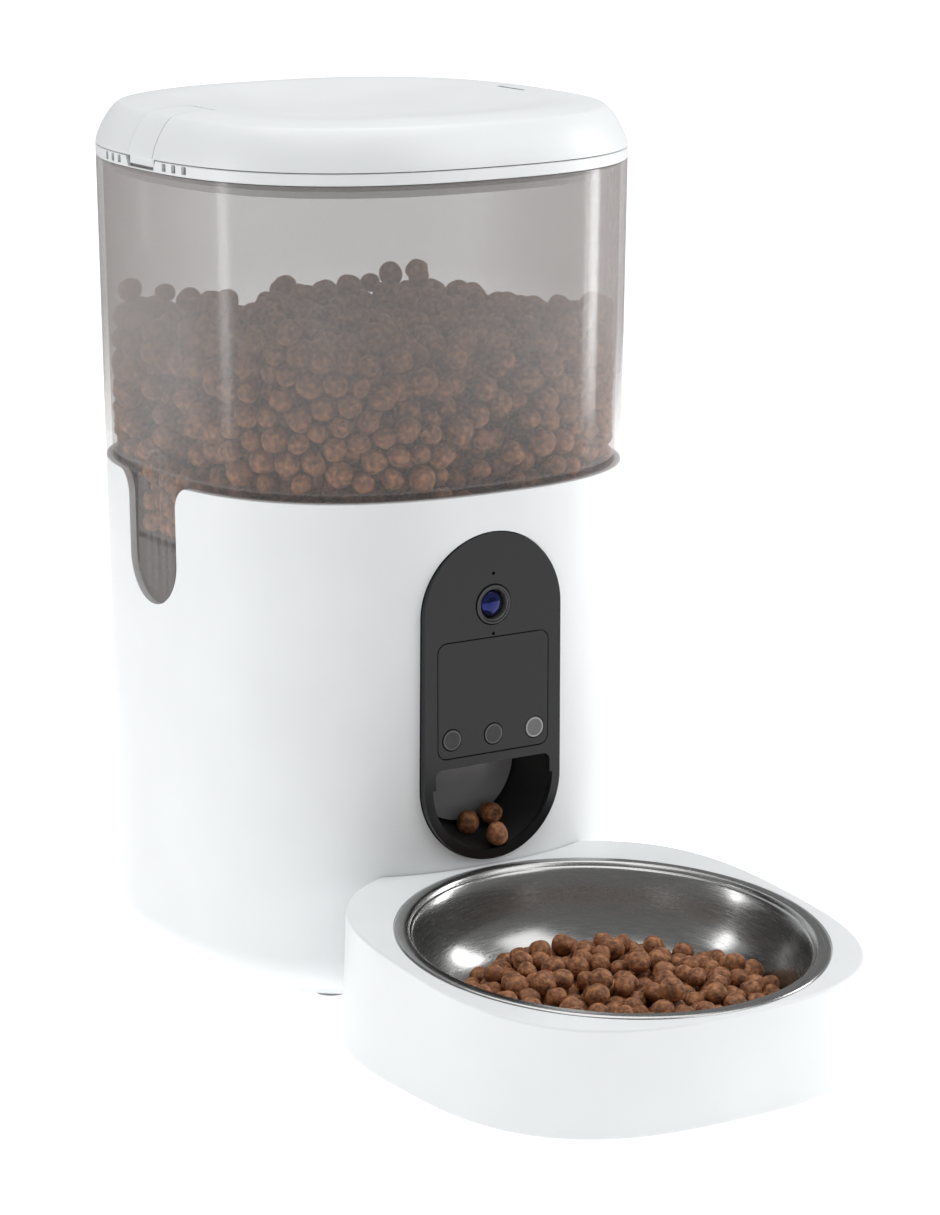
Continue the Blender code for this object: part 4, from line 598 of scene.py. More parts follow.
def build_plinth(white):
    half = (PLINTH_TOP.y - PLINTH_LOW.y) / 2
    low = PLINTH_LOW.z
    inner = half_at(PLINTH_SIDE_Z) - bottom_edge()[0][0] - HOUSING_WALL - 2 * GAP
    rings = [(half - 0.0022, low), (half - 0.0017, low + 0.0005), (half - 0.0001, PLINTH_SIDE_Z - 0.0004),
             (half - 0.0004, PLINTH_SIDE_Z)]
    rows = [tower_ring(h, z, PLINTH_POWER) for h, z in rings]
    rows += [tower_ring(inner, PLINTH_SIDE_Z), tower_ring(inner, PLINTH_SIDE_Z + 0.004),
             tower_ring(inner - 0.002, PLINTH_SIDE_Z + 0.004), tower_ring(inner - 0.002, low + 0.0026)]
    plate = start("plinth", loft(rows))
    screws = [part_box(f"base_screw_{k}") for k in range(1, 5)]
    centres = [((a.x + b.x) / 2, (a.y + b.y) / 2 - BODY_Y) for a, b in screws]
    case_low, case_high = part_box("battery_case")
    case_y = (case_low.y - BODY_Y, case_high.y - BODY_Y)
    fuse(plate, *[rod(0.0042, low + 0.001, PLINTH_TOP.z, centre) for centre in centres])
    pad_low, pad_high = (case_low.x, case_y[0], low + 0.001), (case_high.x, case_y[1], case_low.z - GAP)
    fuse(plate, block(pad_low, pad_high))
    cut(plate, door_groove(case_low, case_high, low))
    wall = 0.0020 + GAP
    opening_low = (case_low.x + wall, case_y[0] + wall, 0.0)
    cut(plate, block(opening_low, (case_high.x - wall, case_y[1] - wall, 0.02)))
    seat = screws[0][0].z + 0.0020 + GAP
    holes = [rod(0.0033, -0.001, seat, centre) for centre in centres]
    holes += [rod(0.0017, 0.0, 0.02, centre) for centre in centres]
    cut(plate, *holes[:4])
    cut(plate, *holes[4:], *speaker_holes())
    done(plate, "root", "white_plastic", white, "base_plate")


def door_groove(case_low, case_high, low):
    """The battery door's stepped groove, out through the plinth's rear edge."""
    half = case_high.x - 0.0020 + GAP
    lip = 0.0020
    step, top = 0.0032 - GAP, 0.0044 + GAP
    right = [(half, low - 0.002), (half, step), (half + lip, step), (half + lip, top)]
    section = right + [(-x, z) for x, z in reversed(right)]
    return prism(section, case_low.y - BODY_Y + 0.0020 - GAP, 0.10, "y")


def speaker_holes():
    a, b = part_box("speaker")
    centre = ((a.y + b.y) / 2 - BODY_Y)
    holes = [rod(0.0016, 0.0, 0.02, (0.0, centre), count=24)]
    for step in range(6):
        angle = math.radians(60 * step)
        hole = (0.008 * math.cos(angle), centre + 0.008 * math.sin(angle))
        holes.append(rod(0.0016, 0.0, 0.02, hole, count=24))
    return holes


def build_feet(rubber):
    for k in range(1, 5):
        a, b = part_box(f"foot_{k}")
        radius = (b.x - a.x) / 2
        profile = [(radius - 0.0012, a.z), (radius - 0.0005, a.z + 0.0001), (radius, a.z + 0.0007),
                   (radius, b.z)]
        foot = start(f"rubber_foot_{k}", turned(profile, FINE), at=((a.x + b.x) / 2, (a.y + b.y) / 2, 0))
        done(foot, "root", "grey_rubber", rubber, f"foot_{k}")


# ---------------------------------------------------------------- front panel and chute

def mouth_outline(grow=0.0):
    corner = 0.003 + grow
    radius = MOUTH_RADIUS + grow
    right = arc((0, MOUTH_CENTRE_Z), radius, -90, 0, 30)
    right.append((MOUTH_SHOULDER + grow, MOUTH_CENTRE_Z))
    right += arc((MOUTH_SHOULDER + grow - corner, MOUTH_TOP_Z + grow - corner), corner, 0, 90, 8)
    return right + [(-x, z) for x, z in reversed(right[1:])]


def build_panel(gloss):
    front, skirt = PANEL_LOW.y - BODY_Y, PANEL_TOP.y - BODY_Y
    back = front + PANEL_PLATE
    low, top = PANEL_LOW.z, PANEL_TOP.z
    panel = start("front_cover", prism(capsule(PANEL_HALF, low, top), front, skirt, "y"))
    wall = 0.0011
    cut(panel, prism(capsule(PANEL_HALF - wall, low + wall, top - wall), back, skirt + 0.01, "y"))
    cut(panel, prism(mouth_outline(), front - 0.01, back + 0.01, "y"))
    half_x = (PLATE_TOP.x - PLATE_LOW.x) / 2
    pocket = rounded((-half_x - GAP, PLATE_LOW.z - GAP), (half_x + GAP, PLATE_TOP.z + GAP), 0.004)
    cut(panel, prism(pocket, front - 0.01, front + 0.0012, "y"))
    through = (front - 0.01, back + 0.01)
    holes = [rod(BUTTON_RADIUS + 0.0005, *through, (x, BUTTON_Z), "y") for x in button_places()]
    holes.append(rod(LENS_RING_RADIUS + GAP, *through, (0, LENS_Z), "y"))
    holes += [rod(PINHOLE_RADIUS, *through, (0, z), "y", 24) for z in (MIC_Z, STATUS_Z)]
    cut(panel, *holes)
    soften(panel, 0.00035, 50)
    done(panel, "root", "gloss_black", gloss, "front_panel")
    face = rounded((-half_x, PLATE_LOW.z), (half_x, PLATE_TOP.z), 0.0037)
    plate = start("key_plate", prism(face, front, front + 0.0009, "y"))
    radius = BUTTON_RADIUS + 0.0002
    cut(plate, *[rod(radius, front - 0.01, back, (x, BUTTON_Z), "y") for x in button_places()])
    soften(plate, 0.00015, 50)
    done(plate, "root", "gloss_black", gloss, "control_plate")


def button_places():
    return [(k - 1) * BUTTON_PITCH for k in range(3)]


def build_buttons(dark, grey):
    front, back = PANEL_LOW.y - BODY_Y, PANEL_LOW.y - BODY_Y + PANEL_PLATE
    for name, x, material in zip(("left", "centre", "right"), button_places(), (dark, dark, grey)):
        proud, flange = -0.0003, back - front + GAP
        profile = [(0.0006, proud + 0.00012), (0.0022, proud + 0.00006), (BUTTON_RADIUS - 0.0004, proud),
                   (BUTTON_RADIUS - 0.0001, proud + 0.0001), (BUTTON_RADIUS, proud + 0.0004),
                   (BUTTON_RADIUS, flange), (0.0051, flange), (0.0051, flange + 0.0008),
                   (0.0020, flange + 0.0008), (0.0020, flange + 0.0022)]
        cap = start(f"key_{name}", facing(profile), at=(x, BODY_Y + front, BUTTON_Z))
        slot = "button_grey" if name == "right" else "black_plastic"
        done(cap, f"button_{name}", slot, material, f"button_{name}")


def build_camera(black, olive, glass):
    at = (0.0, PANEL_LOW.y, LENS_Z)
    middle = LENS_RING_RADIUS - 0.0013
    inner = LENS_RADIUS + 2 * GAP
    bezel = [(middle + 0.0001, 0.0002), (middle + 0.0002, -0.0003), (LENS_RING_RADIUS - 0.0004, -0.0004),
             (LENS_RING_RADIUS - 0.0001, -0.0003), (LENS_RING_RADIUS, 0.0), (LENS_RING_RADIUS, 0.0040),
             (middle + 0.0001, 0.0040)]
    outer = start("lens_bezel", facing(bezel, True), at=at)
    done(outer, "root", "lens_ring_grey", black)
    cone = [(middle, -0.0002), (middle, 0.0038), (inner, 0.0038), (inner, 0.0008), (inner + 0.0004, 0.0002),
            (middle - 0.0003, -0.0003)]
    ring = start("lens_cone", facing(cone, True), at=at)
    done(ring, "root", "lens_ring_grey", olive, "lens_ring")
    profile = smooth_path([(0.0003, 0.0003), (0.0014, 0.00038), (0.0030, 0.0007), (0.0044, 0.0012)], 4)
    profile += [(LENS_RADIUS, 0.0019), (LENS_RADIUS, 0.0040)]
    lens = start("lens_front", facing(profile), at=at)
    done(lens, "root", "lens_glass", glass, "camera_lens")


def chute_section(centre, lean, half, depth, rise, grow):
    """A D-shaped section at (y, z), half-round below and flat on top, leaning by an angle."""
    y0, z0 = centre
    up_y, up_z = -math.sin(lean), math.cos(lean)
    bottom = [((half + grow) * math.cos(math.radians(a)), (depth + grow) * math.sin(math.radians(a)))
              for a in range(180, 361, 6)]
    corner = 0.003 + grow
    top = rise + grow
    right = arc((half + grow - corner, top - corner), corner, 0, 90, 6)
    outline = bottom + right + [(-u, v) for u, v in reversed(right)]
    return [(u, y0 + up_y * v, z0 + up_z * v) for u, v in outline]


def chute_path():
    """Centre (y, z), lean, half-width, depth below and rise above the centre, mouth to inlet."""
    mouth = MOUTH_RADIUS + GAP
    flap = FLAP_HALF + FLAP_CLEAR
    floor = CHUTE_TOP.z
    run = OUTLET_Y - FLAP_Y
    climb = floor - FLAP_CENTRE_Z
    front = CHUTE_LOW.y - BODY_Y
    key = [(front, MOUTH_CENTRE_Z, 0, mouth, mouth, MOUTH_TOP_Z - MOUTH_CENTRE_Z + GAP),
           (FLAP_Y + 0.002, FLAP_CENTRE_Z, 0, flap, flap, 0.0126),
           (FLAP_Y + 0.28 * run, FLAP_CENTRE_Z + 0.08 * climb, 0, 0.0230, 0.0215, 0.0122),
           (FLAP_Y + 0.50 * run, FLAP_CENTRE_Z + 0.32 * climb, 30, 0.0226, 0.0190, 0.0115),
           (FLAP_Y + 0.87 * run, FLAP_CENTRE_Z + 0.65 * climb, 60, 0.0222, 0.0170, 0.0110),
           (OUTLET_Y - 0.0007, floor, 90, 0.0220, 0.0160, 0.0105)]
    return key[:2] + smooth_path(key[1:], 3)[1:]


def build_chute(black):
    def along(path, wall):
        return [chute_section((y, z), math.radians(lean), a, b, t, wall) for y, z, lean, a, b, t in path]

    rings = along(chute_path(), 0.0018) + along(chute_path()[::-1], 0.0)
    chute = start("food_chute", loft(rings, looped=True))
    done(chute, "root", "black_plastic", black, "chute", sharp=50)


def build_flap(smoke):
    radius = FLAP_HALF
    rise = FLAP_RISE
    at = (0.0, BODY_Y + FLAP_Y, FLAP_CENTRE_Z + rise)
    outline = arc((0, -rise), radius, 180, 360, 48) + [(radius, -0.0006), (radius - 0.0006, 0.0),
                                                       (-radius + 0.0006, 0.0), (-radius, -0.0006)]
    flap = start("flap", prism(outline, -0.0008, 0.0008, "y"), at=at)
    barrel = radius - 0.003
    fuse(flap, rod(0.0019, -barrel, barrel, (0, 0), "x", 32), at=at)
    cut(flap, rod(0.0012, -0.04, 0.04, (0, 0), "x", 24), at=at)
    soften(flap, 0.0003, 50)
    done(flap, "outlet_flap", "smoke_plastic", smoke, "outlet_flap")


# ---------------------------------------------------------------- hopper

def tank_under():
    """Half the width of the hopper's part inside the housing."""
    return half_at(SEAM_Z) - HOUSING_WALL - TANK_STEP


def build_tank(smoke):
    rim_low = RIM_LOW.z - GAP
    lip_half = half_at(RIM_TOP.z) - 0.0014 - GAP
    under = tank_under()
    foot = SEAM_Z + GAP
    outer = [tower_ring(lip_half, TANK_TOP.z), tower_ring(lip_half, rim_low),
             tower_ring(half_at(rim_low), rim_low), tower_ring(half_at(foot), foot + 0.0003),
             tower_ring(half_at(foot) - 0.0003, foot), tower_ring(under, foot),
             tower_ring(under, TANK_SHOULDER_Z)]
    tank = start("hopper", loft(outer))
    fuse(tank, *[tongue(side) for side in (-1, 1)])
    step = foot + TANK_WALL
    cavity = [tower_ring(half_at(rim_low) - TANK_WALL, TANK_TOP.z + 0.01),
              tower_ring(half_at(rim_low) - TANK_WALL, rim_low), tower_ring(half_at(step) - TANK_WALL, step),
              tower_ring(under - TANK_WALL, step), tower_ring(under - TANK_WALL, TANK_SHOULDER_Z - 0.01)]
    cut(tank, loft(cavity))
    cut(tank, *pocket(-1), *pocket(1))
    done(tank, "hopper", "smoke_plastic", smoke, "hopper_tank", sharp=30)


def build_funnel(smoke):
    """The hopper's lower funnel, joined under the tank round its tongues."""
    under = tank_under()
    low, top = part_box("hopper_funnel")
    flange = top.z - FUNNEL_FLANGE
    neck = FUNNEL_RADIUS - TANK_WALL
    outer, inner = circle(FUNNEL_RADIUS, count=COUNT), circle(neck, count=COUNT)
    rings = [tower_ring(under, top.z), tower_ring(under, flange), level(outer, FUNNEL_Z),
             level(outer, low.z), level(inner, low.z), level(inner, FUNNEL_Z + 0.0008),
             tower_ring(under - TANK_WALL, flange), tower_ring(under - TANK_WALL, top.z)]
    funnel = start("funnel", loft(rings, looped=True))
    for side in (-1, 1):
        near = half_at(TONGUE_LOW_Z) - TONGUE_DEPTH - GAP
        x = sorted((side * near, side * LID_HALF))
        room = TONGUE_HALF + GAP
        cut(funnel, block((x[0], -room, low.z - 0.01), (x[1], room, top.z + 0.01)))
    done(funnel, "hopper", "smoke_plastic", smoke, "hopper_funnel", sharp=30)


def tongue(side):
    """A side tongue whose outer face is flush with the housing."""
    outline = window_outline(0.0)
    near = [(side * side_x(y, z), y, z) for y, z in outline]
    far = [(side * (half_at(z) - TONGUE_DEPTH), y, z) for y, z in outline]
    return loft([near, far])


def side_x(y, z, inset=0.0):
    """How far out the tower's side is at a point of its side face."""
    half = half_at(min(z, SEAM_Z)) - inset
    return half * (1 - (abs(y) / half) ** SECTION_POWER) ** (1 / SECTION_POWER)


def pocket(side):
    """The hollow of a tongue: open to the funnel above its floor, open to the inside below it."""
    face = half_at(SEAM_Z) - HOUSING_WALL - 0.0004
    deep = face - TONGUE_DEPTH + 2 * TANK_WALL
    half = TONGUE_HALF - TANK_WALL
    above = sorted((side * deep, side * face))
    below = sorted((side * (deep - 2 * TANK_WALL), side * face))
    return (block((above[0], -half, POCKET_FLOOR_Z), (above[1], half, SEAM_Z - 0.001)),
            block((below[0], -half, TONGUE_LOW_Z - 0.01), (below[1], half, POCKET_FLOOR_Z - TANK_WALL)))


def build_window_ribs(smoke):
    """The arch-topped double rib on the inside of each side window."""
    for side, name in ((-1, "left"), (1, "right")):
        shapes = []
        for half in (RIB_HALF, 0.0032):
            top = RIB_TOP_Z - (RIB_HALF - half) * 0.5
            path = [(half, RIB_LOW_Z), (half, top - half)] + arc((0, top - half), half, 0, 180, 16)
            path += [(-half, RIB_LOW_Z)]
            rows = []
            for k, (y, z) in enumerate(path):
                before, after = path[max(k - 1, 0)], path[min(k + 1, len(path) - 1)]
                dy, dz = after[0] - before[0], after[1] - before[1]
                length = math.hypot(dy, dz)
                ny, nz = dz / length, -dy / length
                inset = HOUSING_WALL if z < SEAM_Z else TANK_WALL
                x = side_x(y, z, 0) - inset - 0.0001
                ring = []
                for across, deep in ((-0.0004, 0.0), (0.0004, 0.0), (0.0004, -0.0010), (-0.0004, -0.0010)):
                    ring.append((side * (x + deep), y + ny * across, z + nz * across))
                rows.append(ring)
            shapes.append(loft(rows))
        rib = start(f"window_rib_{name}", *shapes)
        done(rib, "hopper", "smoke_plastic", smoke)


def build_rim(white):
    low, top = RIM_LOW.z, RIM_TOP.z
    inner = half_at(top) - 0.0014
    edge = 0.0003
    rings = [tower_ring(half_at(low) - edge, low), tower_ring(half_at(low), low + edge),
             tower_ring(half_at(top), top - edge), tower_ring(half_at(top) - edge, top),
             tower_ring(inner, top), tower_ring(inner, low)]
    rim = start("rim_band", loft(rings, looped=True))
    recess = [(-RECESS_HALF, top + 0.002), (-RECESS_HALF, top), (-RECESS_LOW_HALF, top - RECESS_DEPTH),
              (RECESS_LOW_HALF, top - RECESS_DEPTH), (RECESS_HALF, top), (RECESS_HALF, top + 0.002)]
    shapes = []
    for side in (-1, 1):
        ends = sorted((side * (LID_HALF - 0.01), side * (LID_HALF + 0.01)))
        shapes.append(prism(recess, *ends, "x"))
        for way in (-1, 1):
            for k in range(3):
                y = way * (RECESS_HALF + 0.0058 + 0.0062 * k)
                half = NOTCH_WIDTH / 2
                notch = rounded((y - half, top - 0.0002 - NOTCH_HEIGHT), (y + half, top - 0.0004), 0.0004, 4)
                shapes.append(prism(notch, *ends, "x"))
    cut(rim, *shapes)
    done(rim, "hopper", "white_plastic", white, "hopper_rim")


# ---------------------------------------------------------------- lid

def lid_profile():
    """The lid's outside as (inset from the edge, height above the seam), edge to middle."""
    steps = 14
    edge = []
    for k in range(steps + 1):
        angle = math.pi / 2 * k / steps
        edge.append((LID_EDGE_INSET * (1 - math.cos(angle) ** LID_EDGE_POWER),
                     LID_EDGE_RISE * math.sin(angle) ** LID_EDGE_POWER))
    crest = max(height for _, height in LID_DISH)
    dish = smooth_path([edge[-2], edge[-1], *LID_DISH], 6)[7:]
    return edge + [(inset, min(height, crest)) for inset, height in dish]


def lid_rings(path):
    return [tower_ring(LID_HALF - inset, LID_LOW.z + height) for inset, height in path]


def latch_axis():
    return LID_HALF - LATCH_INSET, LID_LOW.z + LID_DISH[1][1] - 0.0030


def build_lid(white):
    outside = lid_profile()
    inside = offset_path(outside, LID_WALL)[::2]
    inside[0] = (LID_WALL, 0.0)
    shell = start("lid_cover", loft(lid_rings(outside[::-1]) + lid_rings(inside)))
    axis_x, axis_z = latch_axis()
    lugs, slots, bores = [], [], []
    for side in (-1, 1):
        for way in (-1, 1):
            y = sorted((way * (LATCH_HALF + LATCH_CLEAR), way * (LATCH_HALF + LATCH_CLEAR + 0.003)))
            x = sorted((side * (axis_x - 0.0035), side * (axis_x + 0.0035)))
            lugs.append(block((x[0], y[0], axis_z - 0.0035), (x[1], y[1], axis_z + 0.0018)))
        x = sorted((side * (axis_x - LATCH_BARREL - LATCH_SLIT), side * (LID_HALF + 0.01)))
        slots.append(block((x[0], -LATCH_HALF - LATCH_CLEAR, LID_LOW.z - 0.01),
                           (x[1], LATCH_HALF + LATCH_CLEAR, LID_LOW.z + 0.03)))
        bores.append(rod(0.0013, -0.02, 0.02, (side * axis_x, axis_z), "y", 24))
    fuse(shell, *lugs)
    cut(shell, *slots)
    cut(shell, *bores)
    soften(shell, 0.00025, 50)
    done(shell, "lid", "white_plastic", white, "lid_shell")


def build_latches(white):
    axis_x, axis_z = latch_axis()
    for side, name in ((-1, "left"), (1, "right")):
        at = (side * axis_x, BODY_Y, axis_z)
        path = [point for point in lid_profile() if point[0] < LATCH_INSET]
        path.append((LATCH_INSET + LATCH_BARREL, LID_DISH[2][1]))
        inner = offset_path(path, LATCH_THICK)[::2]
        inner[0] = (LATCH_THICK, 0.0)
        edge, foot = LID_HALF - axis_x, LID_LOW.z - axis_z
        outline = [(edge - inset, foot + height) for inset, height in path + inner[::-1]]
        out, back = edge - 0.0008, edge - 0.0016
        outline += [(back, foot), (back, foot - 0.0030), (out, foot - 0.0030), (out, foot)]
        outline = [(side * x, z) for x, z in outline]
        strip = start(f"lid_latch_{name}", prism(outline, -LATCH_HALF, LATCH_HALF, "y"), at=at)
        fuse(strip, rod(LATCH_BARREL, -LATCH_HALF + 0.0004, LATCH_HALF - 0.0004, (0, 0), "y", 40), at=at)
        cut(strip, rod(0.0013, -0.02, 0.02, (0, 0), "y", 24), at=at)
        soften(strip, 0.00025, 50)
        done(strip, f"latch_{name}", "white_plastic", white, f"latch_{name}")


# ---------------------------------------------------------------- tray and bowl

def tray_top_z(y):
    return TRAY_TOP_MID_Z + math.tan(TRAY_TILT) * y


def tray_ring(inset, z=None, drop=0.0):
    outline = squircle(TRAY_HALF_WIDTH - inset, TRAY_HALF_LENGTH - inset, TRAY_POWER)
    return [(x, y, tray_top_z(y) - drop if z is None else z) for x, y in outline]


def tower_clearance(grow):
    """The tower's outside grown by a gap, which the tray's back is cut to."""
    rings = [tower_ring(half_at(z) - inset + grow, z) for inset, z in bottom_edge()]
    first = [(x, y, -0.02) for x, y, _ in rings[0]]
    rings.append(tower_ring(half_at(0.12) + grow, 0.12))
    return loft([first] + rings)


def build_tray(white):
    at = (0.0, TRAY_Y, 0.0)
    low, draft, edge = TRAY_LOW.z, TRAY_DRAFT, 0.0012
    rows = [tray_ring(0.0006, low), tray_ring(0.0002, low + 0.0003), tray_ring(0.0, low + 0.0009),
            tray_ring(draft, drop=edge)]
    for k in range(1, 6):
        angle = math.pi / 2 * k / 5
        rows.append(tray_ring(draft + edge * (1 - math.cos(angle)), drop=edge * (1 - math.sin(angle))))
    shell = start("tray", loft(rows), at=at)
    cut(shell, tower_clearance(TRAY_GAP))
    inside = [tray_ring(TRAY_WALL, 0.0050), tray_ring(TRAY_WALL + draft, drop=TRAY_WALL)]
    below = [tray_ring(TRAY_LIP, -0.01), tray_ring(TRAY_LIP + draft, drop=0.010)]
    recess = [tray_ring(TRAY_WALL, -0.01), tray_ring(TRAY_WALL, 0.0026)]
    for rings, wall in ((inside, TRAY_WALL), (below, TRAY_LIP), (recess, TRAY_WALL)):
        cut_with_back(shell, rings, wall, at)
    seat = BOWL_RIM + 2 * GAP
    throat = BOWL_RIM - BOWL_RIM_WIDTH + GAP
    cut(shell, turned([(seat, -0.0010), (seat, 0.02)]), at=bowl_place(), tilt=TRAY_TILT)
    cut(shell, turned([(throat, -0.02), (throat, 0.02)]), at=bowl_place(), tilt=TRAY_TILT)
    soften(shell, 0.0003, 50)
    done(shell, "tray", "white_plastic", white, "tray_shell", sharp=40)


def cut_with_back(shell, rings, wall, at):
    """Hollows the tray by a shape that keeps a wall at the tower's side."""
    hollow = start("hollow", loft(rings), at=at)
    cut(hollow, tower_clearance(TRAY_GAP + wall))
    apply_tool(shell, hollow, "DIFFERENCE")


def bowl_place():
    return (0.0, TRAY_Y - BOWL_OFFSET, tray_top_z(-BOWL_OFFSET))


def bowl_path():
    """The bowl's upper surface as (radius, height below the rim), middle to rim."""
    throat = BOWL_RIM - BOWL_RIM_WIDTH - 0.0008 - GAP
    depth = BOWL_DEPTH
    wall = smooth_path([(0.0480, -depth), (0.0590, -depth + 0.0040), (0.0670, -depth + 0.0140),
                        (throat - 0.0020, -0.0040), (throat, -0.0010)], 8)
    lip = [(throat + 0.0006, 0.0001), (throat + 0.0016, 0.0006), (BOWL_RIM - 0.0012, 0.0006),
           (BOWL_RIM - 0.0004, 0.0003), (BOWL_RIM, -0.0002)]
    return [(0.0015, -depth), (0.0200, -depth), (0.0400, -depth), *wall, *lip]


def build_bowl(steel):
    path = bowl_path()
    sheet = 0.0008
    under = offset_path(path, sheet)
    under[0] = (path[0][0], -BOWL_DEPTH - sheet)
    under[-1] = (BOWL_RIM - 0.0009, -0.0006)
    bowl = start("food_bowl", turned(path + under[::-1], 192), at=bowl_place(), tilt=TRAY_TILT)
    done(bowl, "bowl", "steel", steel, "bowl", sharp=40)


# ---------------------------------------------------------------- dry food (dressing)

def settle_grains(clamp, spread, count, radius, seed, rounds=70, fall=0.0003):
    """Grains that lie on each other inside a container, pushed apart until they hardly overlap."""
    draw = np.random.default_rng(seed)
    radii = radius * (1 + 0.16 * draw.uniform(-1, 1, count))
    points = spread(draw, count)
    for turn in range(rounds):
        tree = kdtree.KDTree(count)
        for k in range(count):
            tree.insert(points[k], k)
        tree.balance()
        first, second = [], []
        for k in range(count):
            for _, other, _ in tree.find_range(points[k], 2.1 * radius):
                if other > k:
                    first.append(k)
                    second.append(other)
        first, second = np.array(first, int), np.array(second, int)
        apart = points[first] - points[second]
        distance = np.maximum(np.linalg.norm(apart, axis=1), 1e-6)
        overlap = np.maximum(radii[first] + radii[second] - distance, 0)
        push = apart / distance[:, None] * (overlap * 0.5)[:, None]
        moved = np.zeros_like(points)
        share = np.zeros(count)
        np.add.at(moved, first, push)
        np.add.at(moved, second, -push)
        np.add.at(share, first, overlap > 0)
        np.add.at(share, second, overlap > 0)
        points = points + moved * (1.6 / np.maximum(share, 1.6))[:, None]
        if turn < rounds * 0.8:
            points[:, 2] -= fall
        points = clamp(points, radii)
    return points, radii


def grain_shapes(detail, kinds=5):
    """A few slightly uneven balls, as (points, triangles)."""
    shapes = []
    for kind in range(kinds):
        bm = bmesh.new()
        bmesh.ops.create_icosphere(bm, subdivisions=detail, radius=1.0)
        points = np.array([vertex.co[:] for vertex in bm.verts])
        faces = np.array([[vertex.index for vertex in face.verts] for face in bm.faces])
        bm.free()
        draw = np.random.default_rng(100 + kind)
        size = np.ones(len(points))
        for _ in range(7):
            way = draw.normal(size=3)
            way /= np.linalg.norm(way)
            size += 0.018 * np.sin(draw.uniform(2, 6) * points @ way + draw.uniform(0, 6))
        shapes.append((points * size[:, None] * (1.0, 1.0, draw.uniform(0.86, 0.98)), faces))
    return shapes


def grain_mesh(name, points, radii, detail, seed):
    """All the grains in one mesh, each turned its own way."""
    draw = np.random.default_rng(seed)
    shapes = grain_shapes(detail)
    all_points, all_faces, base = [], [], 0
    for k, (centre, radius) in enumerate(zip(points, radii)):
        shape, faces = shapes[k % len(shapes)]
        axis = draw.normal(size=3)
        turn = np.array(Matrix.Rotation(draw.uniform(0, 6.28), 3, Vector(axis).normalized()))
        all_points.append((shape * radius) @ turn.T + centre)
        all_faces.append(faces + base)
        base += len(shape)
    vertices, triangles = np.concatenate(all_points), np.concatenate(all_faces)
    mesh = bpy.data.meshes.new(name)
    mesh.vertices.add(len(vertices))
    mesh.vertices.foreach_set("co", vertices.ravel().astype(np.float32))
    mesh.loops.add(triangles.size)
    mesh.loops.foreach_set("vertex_index", triangles.ravel().astype(np.int32))
    mesh.polygons.add(len(triangles))
    mesh.polygons.foreach_set("loop_start", np.arange(0, triangles.size, 3, dtype=np.int32))
    mesh.update(calc_edges=True)
    mesh.shade_smooth()
    return mesh


def lay_food(mesh, body, material, at=(0.0, BODY_Y, 0.0), tilt=0.0):
    """Lays grains in place as dressing that moves with a body."""
    mesh.materials.append(material)
    obj = place(mesh.name, mesh, at, tilt)
    bpy.context.view_layer.update()
    world = obj.matrix_world.copy()
    obj.parent = frame["bodies"][body]
    obj.matrix_parent_inverse = Matrix.Identity(4)
    obj.matrix_world = world


def hopper_clamp(points, radii):
    """Keeps the grains inside the hopper's walls and funnel."""
    x, y, z = points.T
    z = np.maximum(z, FUNNEL_Z + radii)
    wall = half_at(z) - TANK_WALL - radii - 0.0002
    under = tank_under() - TANK_WALL - radii - 0.0002
    funnel = np.clip((z - FUNNEL_Z) / (TANK_SHOULDER_Z - FUNNEL_Z), 0, 1)
    neck = FUNNEL_RADIUS - TANK_WALL
    sloped = neck + (under + radii - neck) * funnel - 1.75 * radii
    limit = np.where(z > SEAM_Z + 0.003, wall, np.minimum(under, sloped))
    power = 2 + (SECTION_POWER - 2) * funnel
    norm = (np.abs(x) ** power + np.abs(y) ** power) ** (1 / power)
    scale = np.minimum(1.0, limit / np.maximum(norm, 1e-6))
    return np.stack([x * scale, y * scale, z], 1)


def hopper_spread(draw, count):
    points = draw.uniform((-0.085, -0.085, FUNNEL_Z), (0.085, 0.085, FOOD_TOP_Z + 0.010), (count, 3))
    return hopper_clamp(points, np.full(count, GRAIN_RADIUS))


def bowl_clamp(points, radii):
    """Keeps the grains in the bowl and under the heap's top, in the bowl's own frame."""
    x, y, z = points.T
    heights = [-BOWL_DEPTH, -BOWL_DEPTH + 0.0040, -BOWL_DEPTH + 0.0140, -0.0040, 0.02]
    walls = [0.0480, 0.0590, 0.0670, 0.0713, 0.0713]
    z = np.maximum(z, -BOWL_DEPTH + radii)
    limit = np.interp(z, heights, walls) - radii * 1.1
    norm = np.hypot(x, y)
    scale = np.minimum(1.0, limit / np.maximum(norm, 1e-6))
    x, y = x * scale, y * scale
    across, along = (x - HEAP_CENTRE[0]) / HEAP_SIZE[0], (y - HEAP_CENTRE[1]) / HEAP_SIZE[1]
    reach = np.hypot(across, along)
    inward = np.minimum(1.0, 1.0 / np.maximum(reach, 1e-6))
    x = HEAP_CENTRE[0] + HEAP_SIZE[0] * across * inward
    y = HEAP_CENTRE[1] + HEAP_SIZE[1] * along * inward
    top = -BOWL_DEPTH + 1.6 * radii + HEAP_SIZE[2] * (1 - np.minimum(reach, 1.0) ** 2)
    return np.stack([x, y, np.minimum(z, top)], 1)


